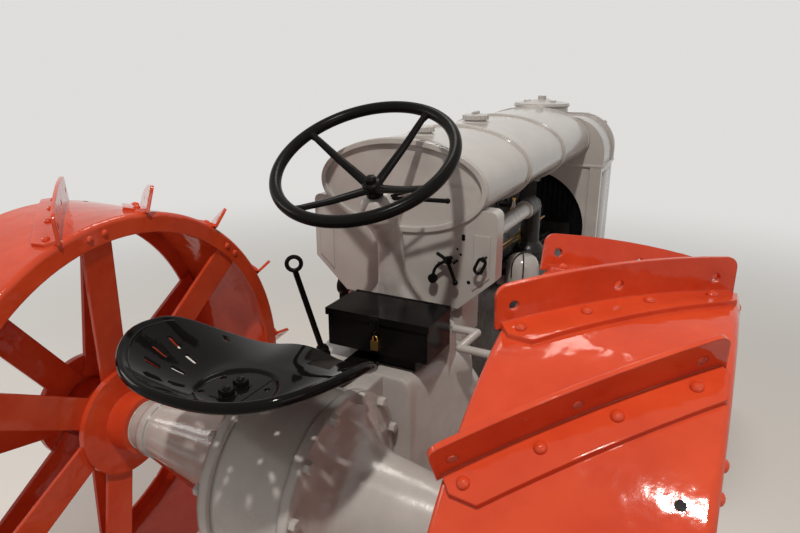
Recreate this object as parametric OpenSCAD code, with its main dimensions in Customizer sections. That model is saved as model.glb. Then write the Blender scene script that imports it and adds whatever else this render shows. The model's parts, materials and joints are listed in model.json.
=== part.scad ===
/* [Overall] */
// Distance between the front and rear wheel centres
wheelbase = 1600; // [1560:5:1640]
// From the front wheels' centre to the front of the starting crank
crank_reach = 447; // [430:1:465]
// Width over the rear rims
rear_width = 1562; // [1540:2:1600]
// Distance between the middles of the front wheels
front_track = 1210; // [1190:2:1240]

/* [Rear wheels] */
// Diameter over the tread of the rear rim, without cleats
rear_rim_d = 1067; // [1040:1:1090]
// Width of the rear rim
rear_rim_w = 305; // [290:1:320]
// Thickness of the rear rim's plate
rear_rim_t = 8; // [6:0.5:10]
// Depth of the rim's turned-in edges
rim_edge = 48; // [40:1:56]
// Rounding of the rim's outer corners
rim_corner = 12; // [9:0.5:16]
// Number of diagonal cleats on a wheel
cleat_count = 14; // [10:1:14]
// Height of a cleat above the tread
cleat_h = 62; // [55:1:72]
// Length of a cleat
cleat_len = 388; // [360:1:396]
// Thickness of a cleat's legs
cleat_t = 8; // [6:0.5:10]
// Width of a cleat's riveted leg
cleat_foot = 54; // [45:1:60]
// Slant of a cleat from the wheel's axis, in degrees
cleat_slant = 40; // [36:1:41]
// Place of the first cleat round the wheel, in degrees
cleat_phase = 94.1; // [90:0.1:96]
// Diameter of the holes in a cleat's upright leg
cleat_hole_d = 15; // [8:1:18]
// Number of spokes in each of the two rows
spoke_count = 7; // [5:1:8]
// Width of a spoke
spoke_w = 75; // [60:1:78]
// Thickness of a spoke
spoke_t = 10; // [8:0.5:12]
// Place of the first inner spoke round the wheel, in degrees
spoke_phase = 97.3; // [90:0.1:110]
// Diameter of the hub's flanges
hub_flange_d = 280; // [260:1:300]
// Thickness of the hub's flanges
hub_flange_t = 16; // [12:1:20]
// Diameter of the hub barrel
hub_barrel_d = 150; // [144:1:170]
// Diameter of the rear axle shafts
rear_shaft_d = 60; // [50:1:64]

/* [Front wheels] */
// Diameter of the front wheel's band
front_rim_d = 711; // [690:1:730]
// Width of the front wheel's band
front_rim_w = 127; // [115:1:135]
// Thickness of the front wheel's band
front_rim_t = 9; // [7:0.5:11]
// Height of the guide rib round the band
front_rib_h = 19; // [14:1:22]
// Width of the guide rib
front_rib_w = 24; // [18:1:30]
// Number of spokes of a front wheel
front_spoke_count = 12; // [8:2:14]
// Diameter of a front spoke
front_spoke_d = 19; // [16:1:22]
// Diameter of the front hub
front_hub_d = 96; // [90:1:110]
// Length of the front hub
front_hub_l = 150; // [140:1:160]
// Diameter of the front spindle
spindle_d = 36; // [30:1:40]

/* [Front axle] */
// Height of the axle beam
beam_h = 62; // [54:1:66]
// Width of the axle beam
beam_w = 50; // [44:1:56]
// Distance of a kingpin from the middle of the front wheel
kingpin_offset = 105; // [100:1:110]
// Diameter of the kingpins
kingpin_d = 26; // [22:1:28]
// Reach of the arms that the track rod joins
track_arm = 120; // [110:1:125]
// Reach of the steering arms
steer_arm = 120; // [110:1:125]
// Diameter of the track rod and the drag link
link_d = 22; // [18:1:24]
// Diameter of the pins at the links' ends
link_pin_d = 12; // [10:1:13]

/* [Fuel tank] */
// Width of the oval tank
tank_w = 458; // [450:1:470]
// Height of the oval tank
tank_h = 228; // [222:1:236]
// Height of the tank's middle above the rear axle
tank_z = 567; // [562:1:570]
// Height of the slim raised bands round the tank
tank_band_h = 3; // [2:0.5:5]

/* [Radiator] */
// Width of the radiator over its flanges
rad_w = 580; // [560:1:590]
// Depth of the radiator from back to front
rad_depth = 230; // [224:1:240]
// Diameter of the round opening behind the core
shroud_hole_d = 460; // [440:1:466]
// Diameter of the filler neck
neck_d = 214; // [200:1:224]
// Diameter of the fan
fan_d = 372; // [340:1:376]
// Number of fan blades
fan_blades = 4; // [3:1:6]

/* [Driver's place] */
// Diameter of the steering wheel to the middle of its rim
wheel_d = 418; // [404:1:430]
// Diameter of the steering wheel's rim bar
wheel_bar_d = 26; // [22:1:28]
// Lean of the steering column from upright, in degrees
column_lean = 29.3; // [28:0.1:31]
// How far the steering wheel's hub lies below its rim
wheel_dish = 78; // [72:1:84]
// Width of the seat
seat_w = 476; // [450:1:500]
// Length of the seat from back to front
seat_l = 374; // [356:1:390]
// Thickness of the pressed seat
seat_t = 5; // [4:0.5:6]
// Thickness of the seat's rolled edge
seat_bead = 18; // [14:1:20]
// Width of the dash plate
dash_w = 522; // [512:2:532]
// Length of the toolbox across the tractor
toolbox_l = 265; // [250:1:275]
// Depth of the toolbox
toolbox_d = 130; // [120:1:135]
// Height of the toolbox without its lid
toolbox_h = 92; // [80:1:96]

/* [Drawbar] */
// Diameter of the hitch pin's hole
hitch_hole_d = 27; // [22:1:32]
// Height of the drawbar's top above the floor
hitch_z = 345; // [330:1:360]

/* [Clearances] */
// Radial play of a shaft or pin in its bore
bearing_play = 0.05; // [0.03:0.01:0.08]
// Play between faces that turn on each other
face_play = 0.3; // [0.2:0.05:0.5]

/* [Hidden] */
$fn = 48;
grey = [0.72, 0.69, 0.68];
red = [0.80, 0.15, 0.08];
black = [0.05, 0.05, 0.05];

// Places of the axles: the origin lies on the floor below the middle of the length
rear_r = rear_rim_d/2;
rear_reach = rear_r + cleat_h;
overall_l = rear_reach + wheelbase + crank_reach;
rear_x = rear_reach - overall_l/2;
rear_z = rear_reach;
front_x = rear_x + wheelbase;
front_r = front_rim_d/2;
front_z = front_r + front_rib_h;
rim_in = rear_width/2 - rear_rim_w;
rim_mid = rear_width/2 - rear_rim_w/2;
kingpin_y = front_track/2 - kingpin_offset;

// Distances along the tractor, from the rear axle
dash_x = 462;
engine_back = 600;
// From the front axle to the radiator's back, and the fan's room behind the radiator
rad_set_back = 40;
fan_room = 140;
rad_back = wheelbase + rad_set_back;
rad_front = rad_back + rad_depth;
engine_front = rad_back - fan_room;

// Heights from the rear axle
trans_top = 165;
deck_z = 225;
head_top = 330;
rad_low = -165;
core_low = -60;
core_high = 460;
rad_top = 650;
crank_z = -110;

// Moves a piece to the rear axle's middle
module at_rear() translate([rear_x, 0, rear_z]) children();

// Moves a piece to the front axle's middle, on the floor's height
module at_front() translate([front_x, 0, front_z]) children();

// Turns a profile round the Y axis: its x is the radius and its y is the place along Y
module turned_y(angle = 360) rotate([-90, 0, 0]) rotate_extrude(angle = angle, $fn = 96) children();

// Extrudes a profile drawn in X and Z along Y, from y0 to y1
module across(y0, y1) translate([0, y1, 0]) rotate([90, 0, 0]) linear_extrude(y1 - y0) children();

// Extrudes a profile drawn in Y and Z along X, from x0 to x1
module along(x0, x1) translate([x0, 0, 0]) rotate([90, 0, 90]) linear_extrude(x1 - x0) children();

// A rectangle between two corners, with rounded corners
module rounded_box2(x0, y0, x1, y1, r) {
    translate([x0 + r, y0]) square([x1 - x0 - 2*r, y1 - y0]);
    translate([x0, y0 + r]) square([x1 - x0, y1 - y0 - 2*r]);
    for (cx = [x0 + r, x1 - r], cy = [y0 + r, y1 - r]) translate([cx, cy]) circle(r);
}

// A round bar between two points, which may taper to a second diameter
module bar(p, q, d, d_end = undef) {
    v = q - p;
    length = norm(v);
    translate(p) rotate([0, acos(v[2]/length), atan2(v[1], v[0])])
        cylinder(d1 = d, d2 = is_undef(d_end) ? d : d_end, h = length);
}

// An oval of the tank's shape, larger all round by grow
module tank_oval(grow = 0) scale([1, (tank_h + 2*grow)/(tank_w + 2*grow)]) circle(d = tank_w + 2*grow, $fn = 96);

// Rear wheels

// The rim's channel: a flat band with both edges turned inward
module rim_section() {
    difference() {
        union() {
            translate([rear_r - rim_edge, rim_in]) square([rim_edge - rim_corner, rear_rim_w]);
            translate([rear_r - rim_corner, rim_in + rim_corner]) square([rim_corner, rear_rim_w - 2*rim_corner]);
            for (y = [rim_in + rim_corner, rim_in + rear_rim_w - rim_corner])
                translate([rear_r - rim_corner, y]) circle(rim_corner);
        }
        translate([rear_r - rim_edge - 1, rim_in + rear_rim_t])
            square([rim_edge - rear_rim_t + 1, rear_rim_w - 2*rear_rim_t]);
    }
}

// The upright leg of a cleat, seen square on, before its top is cut to the wheel's curve
cleat_round = 20;
// Height of the holes in it above the tread
hole_rise = 29;
module cleat_upright2() {
    end = cleat_len/2 - cleat_round;
    shoulder = sqrt(pow(rear_reach, 2) - pow(end*sin(cleat_slant), 2)) - cleat_round;
    difference() {
        union() {
            translate([-end, 0]) square([2*end, rear_reach]);
            translate([-cleat_len/2, 0]) square([cleat_len, shoulder]);
            for (s = [-1, 1]) translate([s*end, shoulder]) circle(cleat_round);
        }
        for (s = [-1, 0, 1]) {
            y = s*(cleat_len/2 - 31) - 4;
            translate([y, sqrt(pow(rear_r + hole_rise, 2) - pow(y*sin(cleat_slant), 2))])
                circle(d = cleat_hole_d, $fn = 24);
        }
    }
}

// The riveted leg of a cleat, seen from above, with its inner corner cut off
module cleat_foot2() {
    half = cleat_len/2 - 8;
    cut = 26;
    polygon([[-cleat_foot, -half + cut], [-cleat_foot + cut, -half], [cleat_t/2, -half],
             [cleat_t/2, half], [-cleat_foot, half]]);
}

// How far a cleat's middle lies in from the middle of the rim
cleat_shift = 10;
// Where a cleat's riveted leg ends, just inside the rim's outer edge
foot_end = rear_rim_w/2 + cleat_shift - 6;
// A band round the wheel, from just inside the tread to the given height above it
module tread_band(height, outer = cleat_len/2) turned_y()
    translate([rear_r - 1, -cleat_len/2]) square([height + 1, cleat_len/2 + outer]);

// One cleat on top of the wheel: a slanting angle iron, bent so that both legs follow the tread
module cleat() translate([0, rim_mid - cleat_shift, 0]) {
    intersection() {
        rotate([90, 0, 90 - cleat_slant]) translate([0, 0, -cleat_t/2]) linear_extrude(cleat_t) cleat_upright2();
        tread_band(cleat_h);
    }
    intersection() {
        rotate([0, 0, -cleat_slant]) linear_extrude(rear_reach) cleat_foot2();
        tread_band(cleat_t, foot_end);
    }
}

// How deep a spoke's welded faces sink into the flange and the rim
spoke_sink = 1;
// Where the spokes start, just clear of each other
spoke_start = spoke_w/2/tan(180/spoke_count) + 3;

// A flat spoke seen along the wheel's rim, from the hub flange to the rim's turned-in edge
module spoke(hub_y, rim_y, angle) {
    rotate([0, -angle, 0]) translate([0, 0, -spoke_w/2]) linear_extrude(spoke_w)
        polygon([[spoke_start, hub_y], [hub_flange_d/2 - 8, hub_y], [rear_r - rim_edge - 2, rim_y], [rear_r - 14, rim_y],
                 [rear_r - 14, rim_y + spoke_t], [rear_r - rim_edge - 6, rim_y + spoke_t],
                 [hub_flange_d/2 - 12, hub_y + spoke_t], [spoke_start, hub_y + spoke_t]]);
}

hub_in_y = 547;
hub_out_y = 690;
hub_end_y = 745;
hub_start_y = 476;
module rear_hub() {
    turned_y() {
        translate([0, hub_start_y]) square([hub_barrel_d/2, hub_end_y - hub_start_y]);
        for (y = [hub_in_y - hub_flange_t, hub_out_y]) translate([0, y]) square([hub_flange_d/2, hub_flange_t]);
        translate([0, hub_end_y - 1]) square([48, 16]);
    }
    // The end of the axle shaft, which turns in the axle tube
    turned_y() translate([0, hub_start_y - 90]) square([rear_shaft_d/2, 91]);
}

// A left wheel; the right one is its mirror image
module rear_wheel() {
    turned_y() rim_section();
    for (i = [0:cleat_count - 1]) rotate([0, 90 - cleat_phase - i*360/cleat_count, 0]) cleat();
    for (i = [0:spoke_count - 1]) {
        spoke(hub_in_y - spoke_sink, rim_in + rear_rim_t - spoke_sink, spoke_phase + i*360/spoke_count);
        spoke(hub_out_y - spoke_t + spoke_sink, rear_width/2 - rear_rim_t - spoke_t + spoke_sink,
            spoke_phase + (i + 0.5)*360/spoke_count);
    }
    rear_hub();
}

module rear_wheel_left() color(red) at_rear() rear_wheel();
module rear_wheel_right() color(red) at_rear() mirror([0, 1, 0]) rear_wheel();

// Rear axle

housing_half = 84;
axle_flange_r = 215;
axle_flange_t = 24;
// Outline of the tapering tube: a steady taper that flares like a trumpet at the flange
tube_start = housing_half + axle_flange_t;
tube_collar_y = 418;
function tube_r(y) = 114 - 0.155*(y - tube_start) + 78*exp(-(y - tube_start)/22);
module axle_tube() difference() {
    turned_y() polygon(concat(
        [[0, housing_half], [axle_flange_r, housing_half], [axle_flange_r, tube_start]],
        [for (i = [0:7]) [tube_r(tube_start + i*11), tube_start + i*11]],
        [[tube_r(tube_collar_y), tube_collar_y], [71, tube_collar_y], [71, tube_collar_y + 22],
         [62, tube_collar_y + 24], [59, hub_start_y - face_play], [0, hub_start_y - face_play]]));
    turned_y() translate([0, hub_start_y - 95]) square([rear_shaft_d/2 + bearing_play, 100]);
}
module axle_tube_left() color(grey) at_rear() axle_tube();
module axle_tube_right() color(grey) at_rear() mirror([0, 1, 0]) axle_tube();

// Rear face of the worm housing, on which the drawbar's casting is bolted
housing_back = -200;
worm_z = -190;
module rear_axle_housing() color(grey) at_rear() {
    turned_y() translate([0, -housing_half]) square([housing_r, 2*housing_half]);
    // Where it widens to the gearbox, just clear of the axle tubes' flanges
    along(axle_flange_r + 2, case_back) trans_section(case_half, trans_top, case_low);
    // Worm housing below, from the drawbar's seat forward to the gearbox
    translate([housing_back, 0, worm_z]) rotate([0, 90, 0]) cylinder(r = 82, h = 400);
    translate([housing_back, 0, worm_z]) rotate([0, 90, 0]) cylinder(r = 106, h = 22);
    across(-80, 80) polygon([[0, worm_z], [case_back, case_low], [case_back, trans_top], [120, trans_top],
        [60, housing_r - 12]]);
}
housing_r = 206;
// Where the gearbox starts, and its half width and lowest face
case_back = 230;
case_half = 150;
case_low = -250;

// Gearbox

module trans_section(half, top, low) polygon([[-half + 40, low], [half - 40, low], [half, low + 60], [half, 60],
    [half - 10, 75], [half - 10, top - 18], [half - 24, top], [-half + 24, top], [-half + 10, top - 18],
    [-half + 10, 75], [-half, 60], [-half, low + 60]]);

module transmission_case() color(grey) at_rear() {
    along(case_back, 480) trans_section(case_half, trans_top, case_low);
    // Lug that holds the pedal's shaft
    along(pedal_x - 22, pedal_x + 19) {
        translate([-178, 0]) square([60, pedal_z - 6]);
        translate([-158, pedal_z - 6]) circle(20);
        translate([-158, 0]) square([40, pedal_z + 14]);
    }
    // Clutch and flywheel housing
    translate([480, 0, crank_z]) rotate([0, 90, 0]) cylinder(r = 215, h = 22, $fn = 72);
    translate([500, 0, crank_z]) rotate([0, 90, 0]) cylinder(r = 195, h = 78, $fn = 72);
    translate([576, 0, crank_z]) rotate([0, 90, 0]) cylinder(r = 215, h = engine_back - 576, $fn = 72);
    along(480, engine_back) translate([-150, 0]) square([300, trans_top]);
}

// Place and thickness of the plate that the hitch pin goes through
hitch_x = -330;
hitch_t = 25;
module drawbar() color(grey) at_rear() difference() {
    union() {
        along(housing_back - 22, housing_back) translate([0, worm_z]) circle(r = 112);
        across(-45, 45) polygon([[housing_back - 10, -270], [housing_back - 10, -130], [housing_back - 50, -225],
            [hitch_x + 44, hitch_z - rear_z], [hitch_x, hitch_z - rear_z], [hitch_x, hitch_z - rear_z - hitch_t],
            [hitch_x + 44, hitch_z - rear_z - hitch_t]]);
        translate([hitch_x, 0, hitch_z - rear_z - hitch_t]) cylinder(r = 45, h = hitch_t);
    }
    translate([hitch_x, 0, hitch_z - rear_z - 60]) cylinder(d = hitch_hole_d, h = 100);
}

// Engine

block_half = 130;
module engine_block() color(black) at_rear() {
    along(engine_back, engine_front) translate([-block_half, crank_z + 10])
        square([2*block_half, deck_z - crank_z - 10]);
    // Bearing for the fan on the engine's front
    translate([engine_front - 1, 0, fan_z]) rotate([0, 90, 0]) difference() {
        cylinder(d = 48, h = fan_back - engine_front - 3);
        translate([0, 0, 10]) cylinder(d = fan_shaft_d + 2*bearing_play, h = 200);
    }
}

module cylinder_head() color(black) at_rear() {
    along(engine_back + 60, engine_front - 20) rounded_box2(-105, deck_z, 105, head_top, 18);
    // Water outlet to the radiator's top tank
    translate([engine_front - 70, 0, head_top - 10]) cylinder(d = water_d, h = water_z - head_top + 10);
    translate([engine_front - 70, 0, water_z]) sphere(d = water_d + 1, $fn = 32);
    translate([engine_front - 70, 0, water_z]) rotate([0, 90, 0]) cylinder(d = water_d, h = rad_back - engine_front + 70);
}

water_d = 48;
water_z = 417;
pan_z = -245;
pan_front_z = rad_low;
module crankcase() color(grey) at_rear() {
    intersection() {
        along(engine_back, engine_front) pan_section(135, crank_z + 10, pan_z);
        across(-200, 200) polygon([[engine_back, crank_z + 10], [engine_back, pan_z], [engine_front - 160, pan_z],
            [engine_front - 70, pan_front_z], [engine_front, pan_front_z], [engine_front, crank_z + 10]]);
    }
    // Seat of the radius rods' ball
    translate([rod_ball_x - 30, -30, rod_ball_z + rod_ball_d/2 + face_play])
        cube([60, 60, pan_z - rod_ball_z - rod_ball_d/2 - face_play + 1]);
}
module pan_section(half, top, low) polygon([[-half - 12, top], [-half - 12, top - 18], [-half, top - 22],
    [-half + 40, low + 20], [-half + 70, low], [half - 70, low], [half - 40, low + 20], [half, top - 22],
    [half + 12, top - 18], [half + 12, top]]);

manifold_y = -180;
manifold_z = 175;
air_y = -186;
air_z = 424;
elbow_x = 1020;
elbow_back = 960;
module exhaust_manifold() color(black) at_rear() {
    translate([elbow_back, manifold_y, manifold_z]) rotate([0, 90, 0]) cylinder(d = 76, h = 460);
    for (i = [0:3]) translate([elbow_back + 50 + i*120, manifold_y, manifold_z]) rotate([-90, 0, 0])
        cylinder(d = 64, h = -manifold_y - block_half);
    // Mixing chamber and elbow up to the air pipe
    translate([elbow_x, air_y, manifold_z + 90]) sphere(d = 104, $fn = 32);
    translate([elbow_x, air_y, manifold_z]) cylinder(d = 60, h = air_z - manifold_z);
    translate([elbow_x, air_y, air_z]) sphere(d = 62, $fn = 32);
    translate([elbow_back, air_y, air_z]) rotate([0, 90, 0]) cylinder(d = 60, h = elbow_x - elbow_back);
}

module air_pipe() color(grey) at_rear() translate([engine_back, air_y, air_z]) rotate([0, 90, 0]) {
    cylinder(d = air_d, h = elbow_back - engine_back);
    translate([0, 0, elbow_back - engine_back - 16]) cylinder(d = air_d + 12, h = 16);
}
air_d = 46;

strainer_x = 890;
strainer_y = -205;
strainer_z = 165;
module fuel_strainer() color(grey) at_rear() {
    // A can with rounded shoulders and a smaller domed lid
    translate([strainer_x, strainer_y, strainer_z]) rotate_extrude() polygon([[0, 0], [38, 0], [50, 12], [50, 88],
        [48, 96], [42, 102], [34, 104], [34, 122], [30, 130], [20, 135], [0, 137]]);
    translate([strainer_x, strainer_y, strainer_z + 40]) rotate([-90, 0, 0]) cylinder(d = 30, h = -strainer_y - block_half);
}

// Radiator

module rad_shell2(grow = 0) {
    half = rad_w/2 + grow;
    r = 140;
    intersection() {
        union() {
            translate([-half, core_high]) square([2*half, rad_top - r - core_high]);
            for (s = [-1, 1]) translate([s*(half - r), rad_top - r + grow]) circle(r);
            translate([-half + r, core_high]) square([2*(half - r), rad_top - core_high + grow]);
        }
        translate([-half, core_high]) square([2*half, rad_top]);
    }
}

module radiator_top_tank() color(grey) at_rear() {
    along(rad_back, rad_front) rad_shell2(-8);
    along(rad_back, rad_back + 16) rad_shell2();
    along(rad_front - 16, rad_front) rad_shell2();
    translate([(rad_back + rad_front)/2, 0, rad_top - 12]) cylinder(d = neck_d, h = 40);
    // Spout that the engine's water outlet joins
    along(rad_back, rad_back + 29) spout2();
}
module spout2() translate([-40, water_z - 32]) square([80, core_high - water_z + 33]);

module radiator_cap() color(grey) at_rear() translate([(rad_back + rad_front)/2, 0, rad_top + 28]) {
    cylinder(d = neck_d + 8, h = 14);
    translate([0, 0, 14]) rotate_extrude() polygon([[0, 0], [neck_d/2, 0], [24, 14], [0, 14]]);
    translate([0, 0, 26]) cylinder(d = 34, h = 16);
}

module radiator_core() color(black) at_rear()
    along(rad_back + 30, rad_front - 14) translate([-rad_w/2 + 50, core_low]) square([rad_w - 100, core_high - core_low]);

module radiator_columns() color(grey) at_rear()
    for (s = [0, 1]) mirror([0, s, 0]) along(rad_back, rad_front)
        translate([rad_w/2 - 50, core_low]) square([44, core_high - core_low]);

module radiator_bottom_tank() color(grey) at_rear() {
    along(rad_back, rad_front) rounded_box2(-rad_w/2 + 20, rad_low, rad_w/2 - 20, core_low, 30);
    along(rad_back, rad_front) translate([-rad_w/2 + 6, core_low - 16]) square([rad_w - 12, 16]);
}

module fan_shroud() color(grey) at_rear() difference() {
    along(rad_back + 8, rad_back + 18) translate([-rad_w/2 + 50, core_low])
        square([rad_w - 100, core_high - core_low]);
    translate([rad_back, 0, fan_z]) rotate([0, 90, 0]) cylinder(d = shroud_hole_d, h = 80, $fn = 96);
    along(rad_back, rad_back + 40) spout2();
}

fan_z = (core_low + core_high)/2;
fan_shaft_d = 20;
fan_back = rad_back - 44;
module fan() color(black) at_rear() translate([fan_back, 0, fan_z]) rotate([0, 90, 0]) {
    cylinder(d = 90, h = 22);
    for (i = [0:fan_blades - 1]) rotate([0, 0, i*360/fan_blades]) translate([30, 0, 12]) rotate([24, 0, 0])
        translate([0, -40, -2]) cube([fan_d/2 - 30, 80, 3]);
    translate([0, 0, -60]) cylinder(d = fan_shaft_d, h = 61);
}

// Front support and axle

pivot_d = 36;
starter_z = -189;
pivot_z = front_z - rear_z + beam_h/2 - 15;
// Underside of the support, clear of the axle's middle by rock_room, so that the axle can rock
rock_room = 7;
support_low = pivot_z + beam_h/2 + 2 + rock_room;
module front_support() color(grey) at_rear() {
    along(engine_front, rad_back) rounded_box2(-120, support_low, 120, crank_z + 70, 20);
    // Bearing of the starting crank, under the radiator
    translate([rad_back - 2, 0, starter_z]) rotate([0, 90, 0]) cylinder(d = 46, h = rad_depth - 10);
    // Lugs behind and before the axle beam, and the pin on which it rocks
    for (x = [wheelbase - beam_w/2 - 24, wheelbase + beam_w/2 + 3]) along(x, min(x + 20, rad_back))
        translate([-55, pivot_z - 32]) square([110, support_low - pivot_z + 40]);
    translate([wheelbase - beam_w/2 - 24, 0, pivot_z]) rotate([0, 90, 0]) cylinder(d = pivot_d, h = beam_w + 34);
}

module front_axle() color(grey) at_front() difference() {
    union() {
        across(-kingpin_y + 52, kingpin_y - 52) {
            translate([-beam_w/2, -15]) square([beam_w, 14]);
            translate([-8, -15]) square([16, beam_h]);
            translate([-beam_w/2, beam_h - 29]) square([beam_w, 14]);
        }
        along(-beam_w/2, beam_w/2) translate([0, beam_h/2 - 15]) circle(d = beam_h + 4);
        for (m = [0, 1]) mirror([0, m, 0]) translate([0, kingpin_y, 0]) {
            for (z = [-yoke_gap/2 - yoke_t, yoke_gap/2]) translate([0, 0, z]) {
                cylinder(d = 62, h = yoke_t);
                translate([-beam_w/2, -64, 0]) cube([beam_w, 64, yoke_t]);
            }
            translate([-beam_w/2, -64, -yoke_gap/2 - yoke_t]) cube([beam_w, 24, yoke_gap + 2*yoke_t]);
        }
    }
    for (s = [-1, 1]) translate([0, s*kingpin_y, -yoke_gap]) cylinder(d = kingpin_d + 2*bearing_play, h = 2*yoke_gap);
    along(-beam_w, beam_w) translate([0, beam_h/2 - 15]) circle(d = pivot_d + 2*bearing_play);
}
yoke_gap = 104;
yoke_t = 24;

// Knuckles

arm_low = yoke_gap/2 + yoke_t + 5;
ball_d = 26;

module knuckle(s) {
    translate([0, s*kingpin_y, -yoke_gap/2 + face_play]) cylinder(d = 58, h = yoke_gap - 2*face_play);
    translate([0, s*kingpin_y, -yoke_gap/2 - yoke_t - 8]) cylinder(d = kingpin_d, h = yoke_gap + 2*yoke_t + 18);
    translate([0, s*kingpin_y, 0]) rotate([-s*90, 0, 0]) cylinder(d = spindle_d, h = kingpin_offset + front_hub_l/2 + 14);
    translate([0, s*kingpin_y, 0]) rotate([-s*90, 0, 0]) cylinder(d = 54, h = kingpin_offset - front_hub_l/2 - face_play);
    // Arm for the track rod
    bar([0, s*kingpin_y, 0], [-track_arm, s*kingpin_y, 0], 26);
    translate([-track_arm, s*kingpin_y, -13]) cylinder(d = 38, h = 26);
    translate([-track_arm, s*kingpin_y, -30]) cylinder(d = link_pin_d, h = 60);
}
module knuckle_left() color(grey) at_front() {
    knuckle(1);
    // Steering arm above the axle
    translate([0, kingpin_y, yoke_gap/2 + yoke_t + face_play]) cylinder(d = 46, h = 24);
    across(kingpin_y - steer_arm, kingpin_y) translate([-14, arm_low]) square([28, 16]);
    translate([0, kingpin_y - steer_arm, arm_low]) cylinder(d = 38, h = 16);
    translate([0, kingpin_y - steer_arm, arm_low + 24]) sphere(d = ball_d, $fn = 32);
}
module knuckle_right() color(grey) at_front() knuckle(-1);

module front_wheel(s) translate([0, s*front_track/2, 0]) difference() {
    union() {
        turned_y() {
            translate([front_r - front_rim_t, -front_rim_w/2]) square([front_rim_t, front_rim_w]);
            translate([front_r - 1, -front_rib_w/2]) square([front_rib_h + 1, front_rib_w]);
            translate([0, -front_hub_l/2]) square([front_hub_d/2, front_hub_l]);
        }
        for (i = [0:front_spoke_count - 1]) rotate([0, i*360/front_spoke_count, 0])
            bar([30, (i % 2)*90 - 45, 0], [front_r - 5, (i % 2)*50 - 25, 0], front_spoke_d);
        translate([0, s*front_hub_l/2, 0]) rotate([-s*90, 0, 0]) cylinder(d = 74, h = 28);
    }
    translate([0, -s*(front_hub_l/2 + 5), 0]) rotate([-s*90, 0, 0])
        cylinder(d = spindle_d + 2*bearing_play, h = front_hub_l + 20);
}
module front_wheel_left() color(red) at_front() front_wheel(1);
module front_wheel_right() color(red) at_front() front_wheel(-1);

rod_ball_x = wheelbase - 600;
rod_ball_d = 52;
rod_ball_z = -282;
module radius_rods() color(grey) at_rear() {
    low = front_z - rear_z - 38;
    for (s = [-1, 1]) bar([wheelbase, s*380, low], [rod_ball_x, s*10, rod_ball_z], 28);
    for (s = [-1, 1]) translate([wheelbase, s*380, low - 16]) cylinder(d = 44, h = 39);
    translate([rod_ball_x, 0, rod_ball_z]) sphere(d = rod_ball_d, $fn = 32);
}

module tie_rod() color(grey) at_front() {
    for (s = [-1, 1]) translate([-track_arm, s*kingpin_y, 14]) difference() {
        cylinder(d = 38, h = 18);
        translate([0, 0, -1]) cylinder(d = link_pin_d + (s > 0 ? 2*bearing_play : 1.2), h = 30);
    }
    across(-kingpin_y + 16, kingpin_y - 16) translate([-track_arm, 22]) circle(d = link_d*0.7);
}

// Steering gear

arm_x = 545;
arm_y = 235;
arm_z = 240;
arm_t = 14;
arm_shaft_d = 34;
gearbox_half = 170;
module steering_arm() color(black) at_rear() translate([arm_x, 0, arm_z]) {
    translate([0, gearbox_half - 50, 0]) rotate([-90, 0, 0])
        cylinder(d = arm_shaft_d, h = arm_y - gearbox_half + 50 - arm_t/2);
    across(arm_y - arm_t, arm_y) {
        circle(d = 56);
        translate([-15, -steer_arm]) square([30, steer_arm]);
        translate([0, -steer_arm]) circle(d = 40);
    }
    translate([0, arm_y - arm_t/2, -steer_arm]) rotate([-90, 0, 0]) cylinder(d = link_pin_d, h = 46);
}

module drag_link() color(black) at_rear() {
    tail = [arm_x, arm_y + 14, arm_z - steer_arm];
    // The open pivot: a cup that rests over the knuckle's ball
    cup_low = front_z - rear_z + arm_low + 24 + ball_d/2 + face_play;
    nose = [wheelbase, kingpin_y - steer_arm, cup_low + 11.5];
    difference() {
        union() {
            translate([arm_x, arm_y + face_play, arm_z - steer_arm]) rotate([-90, 0, 0]) cylinder(d = 38, h = 26);
            bar(tail, nose, link_d);
            translate([nose[0], nose[1], cup_low]) cylinder(d = 40, h = 24);
        }
        translate([arm_x, arm_y - 5, arm_z - steer_arm]) rotate([-90, 0, 0])
            cylinder(d = link_pin_d + 2*bearing_play, h = 60);
    }
}

wheel_x = 282;
wheel_z = 658;
module on_column() translate([wheel_x, 0, wheel_z]) rotate([0, 180 - column_lean, 0]) children();

module steering_wheel() color(black) at_rear() on_column() {
    rotate_extrude($fn = 96) translate([wheel_d/2, 0]) circle(d = wheel_bar_d, $fn = 24);
    for (a = [23:90:293]) rotate([0, 0, a]) {
        bar([18, 0, wheel_dish + 2], [wheel_d/2 - 34, 0, 8], 15);
        bar([wheel_d/2 - 34, 0, 8], [wheel_d/2 - 1, 0, 0], 15, 20);
        translate([wheel_d/2 - 34, 0, 8]) sphere(d = 16.4, $fn = 24);
    }
    translate([0, 0, wheel_dish - 12]) cylinder(d1 = 44, d2 = 58, h = 12);
    translate([0, 0, wheel_dish]) cylinder(d = 58, h = 24);
    translate([0, 0, wheel_dish - 26]) cylinder(d = 28, h = 16, $fn = 6);
    translate([0, 0, wheel_dish]) cylinder(d = steer_shaft_d, h = 80);
}

steer_shaft_d = 24;
// The column's turned body, larger all round by grow
column_outline = [[33, 30], [40, 44], [49, 70], [51, 84], [44, 98], [34, 116], [32, 150], [32, 330]];
module column_body(grow = 0) rotate_extrude() polygon(concat([[0, wheel_dish + 30]],
    [for (p = column_outline) [p[0] + grow, wheel_dish + p[1]]], [[0, wheel_dish + 330]]));
module steering_column() color(grey) at_rear() difference() {
    union() {
        on_column() column_body();
        // The foot flares out over the gearbox
        for (i = [0:4]) hull() {
            foot_slice(foot_flare[i]);
            foot_slice(foot_flare[i + 1]);
        }
    }
    on_column() translate([0, 0, wheel_dish]) cylinder(d = steer_shaft_d + 2*bearing_play, h = 90);
    translate([dash_x, -200, 100]) cube([200, 400, 400]);
}

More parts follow.
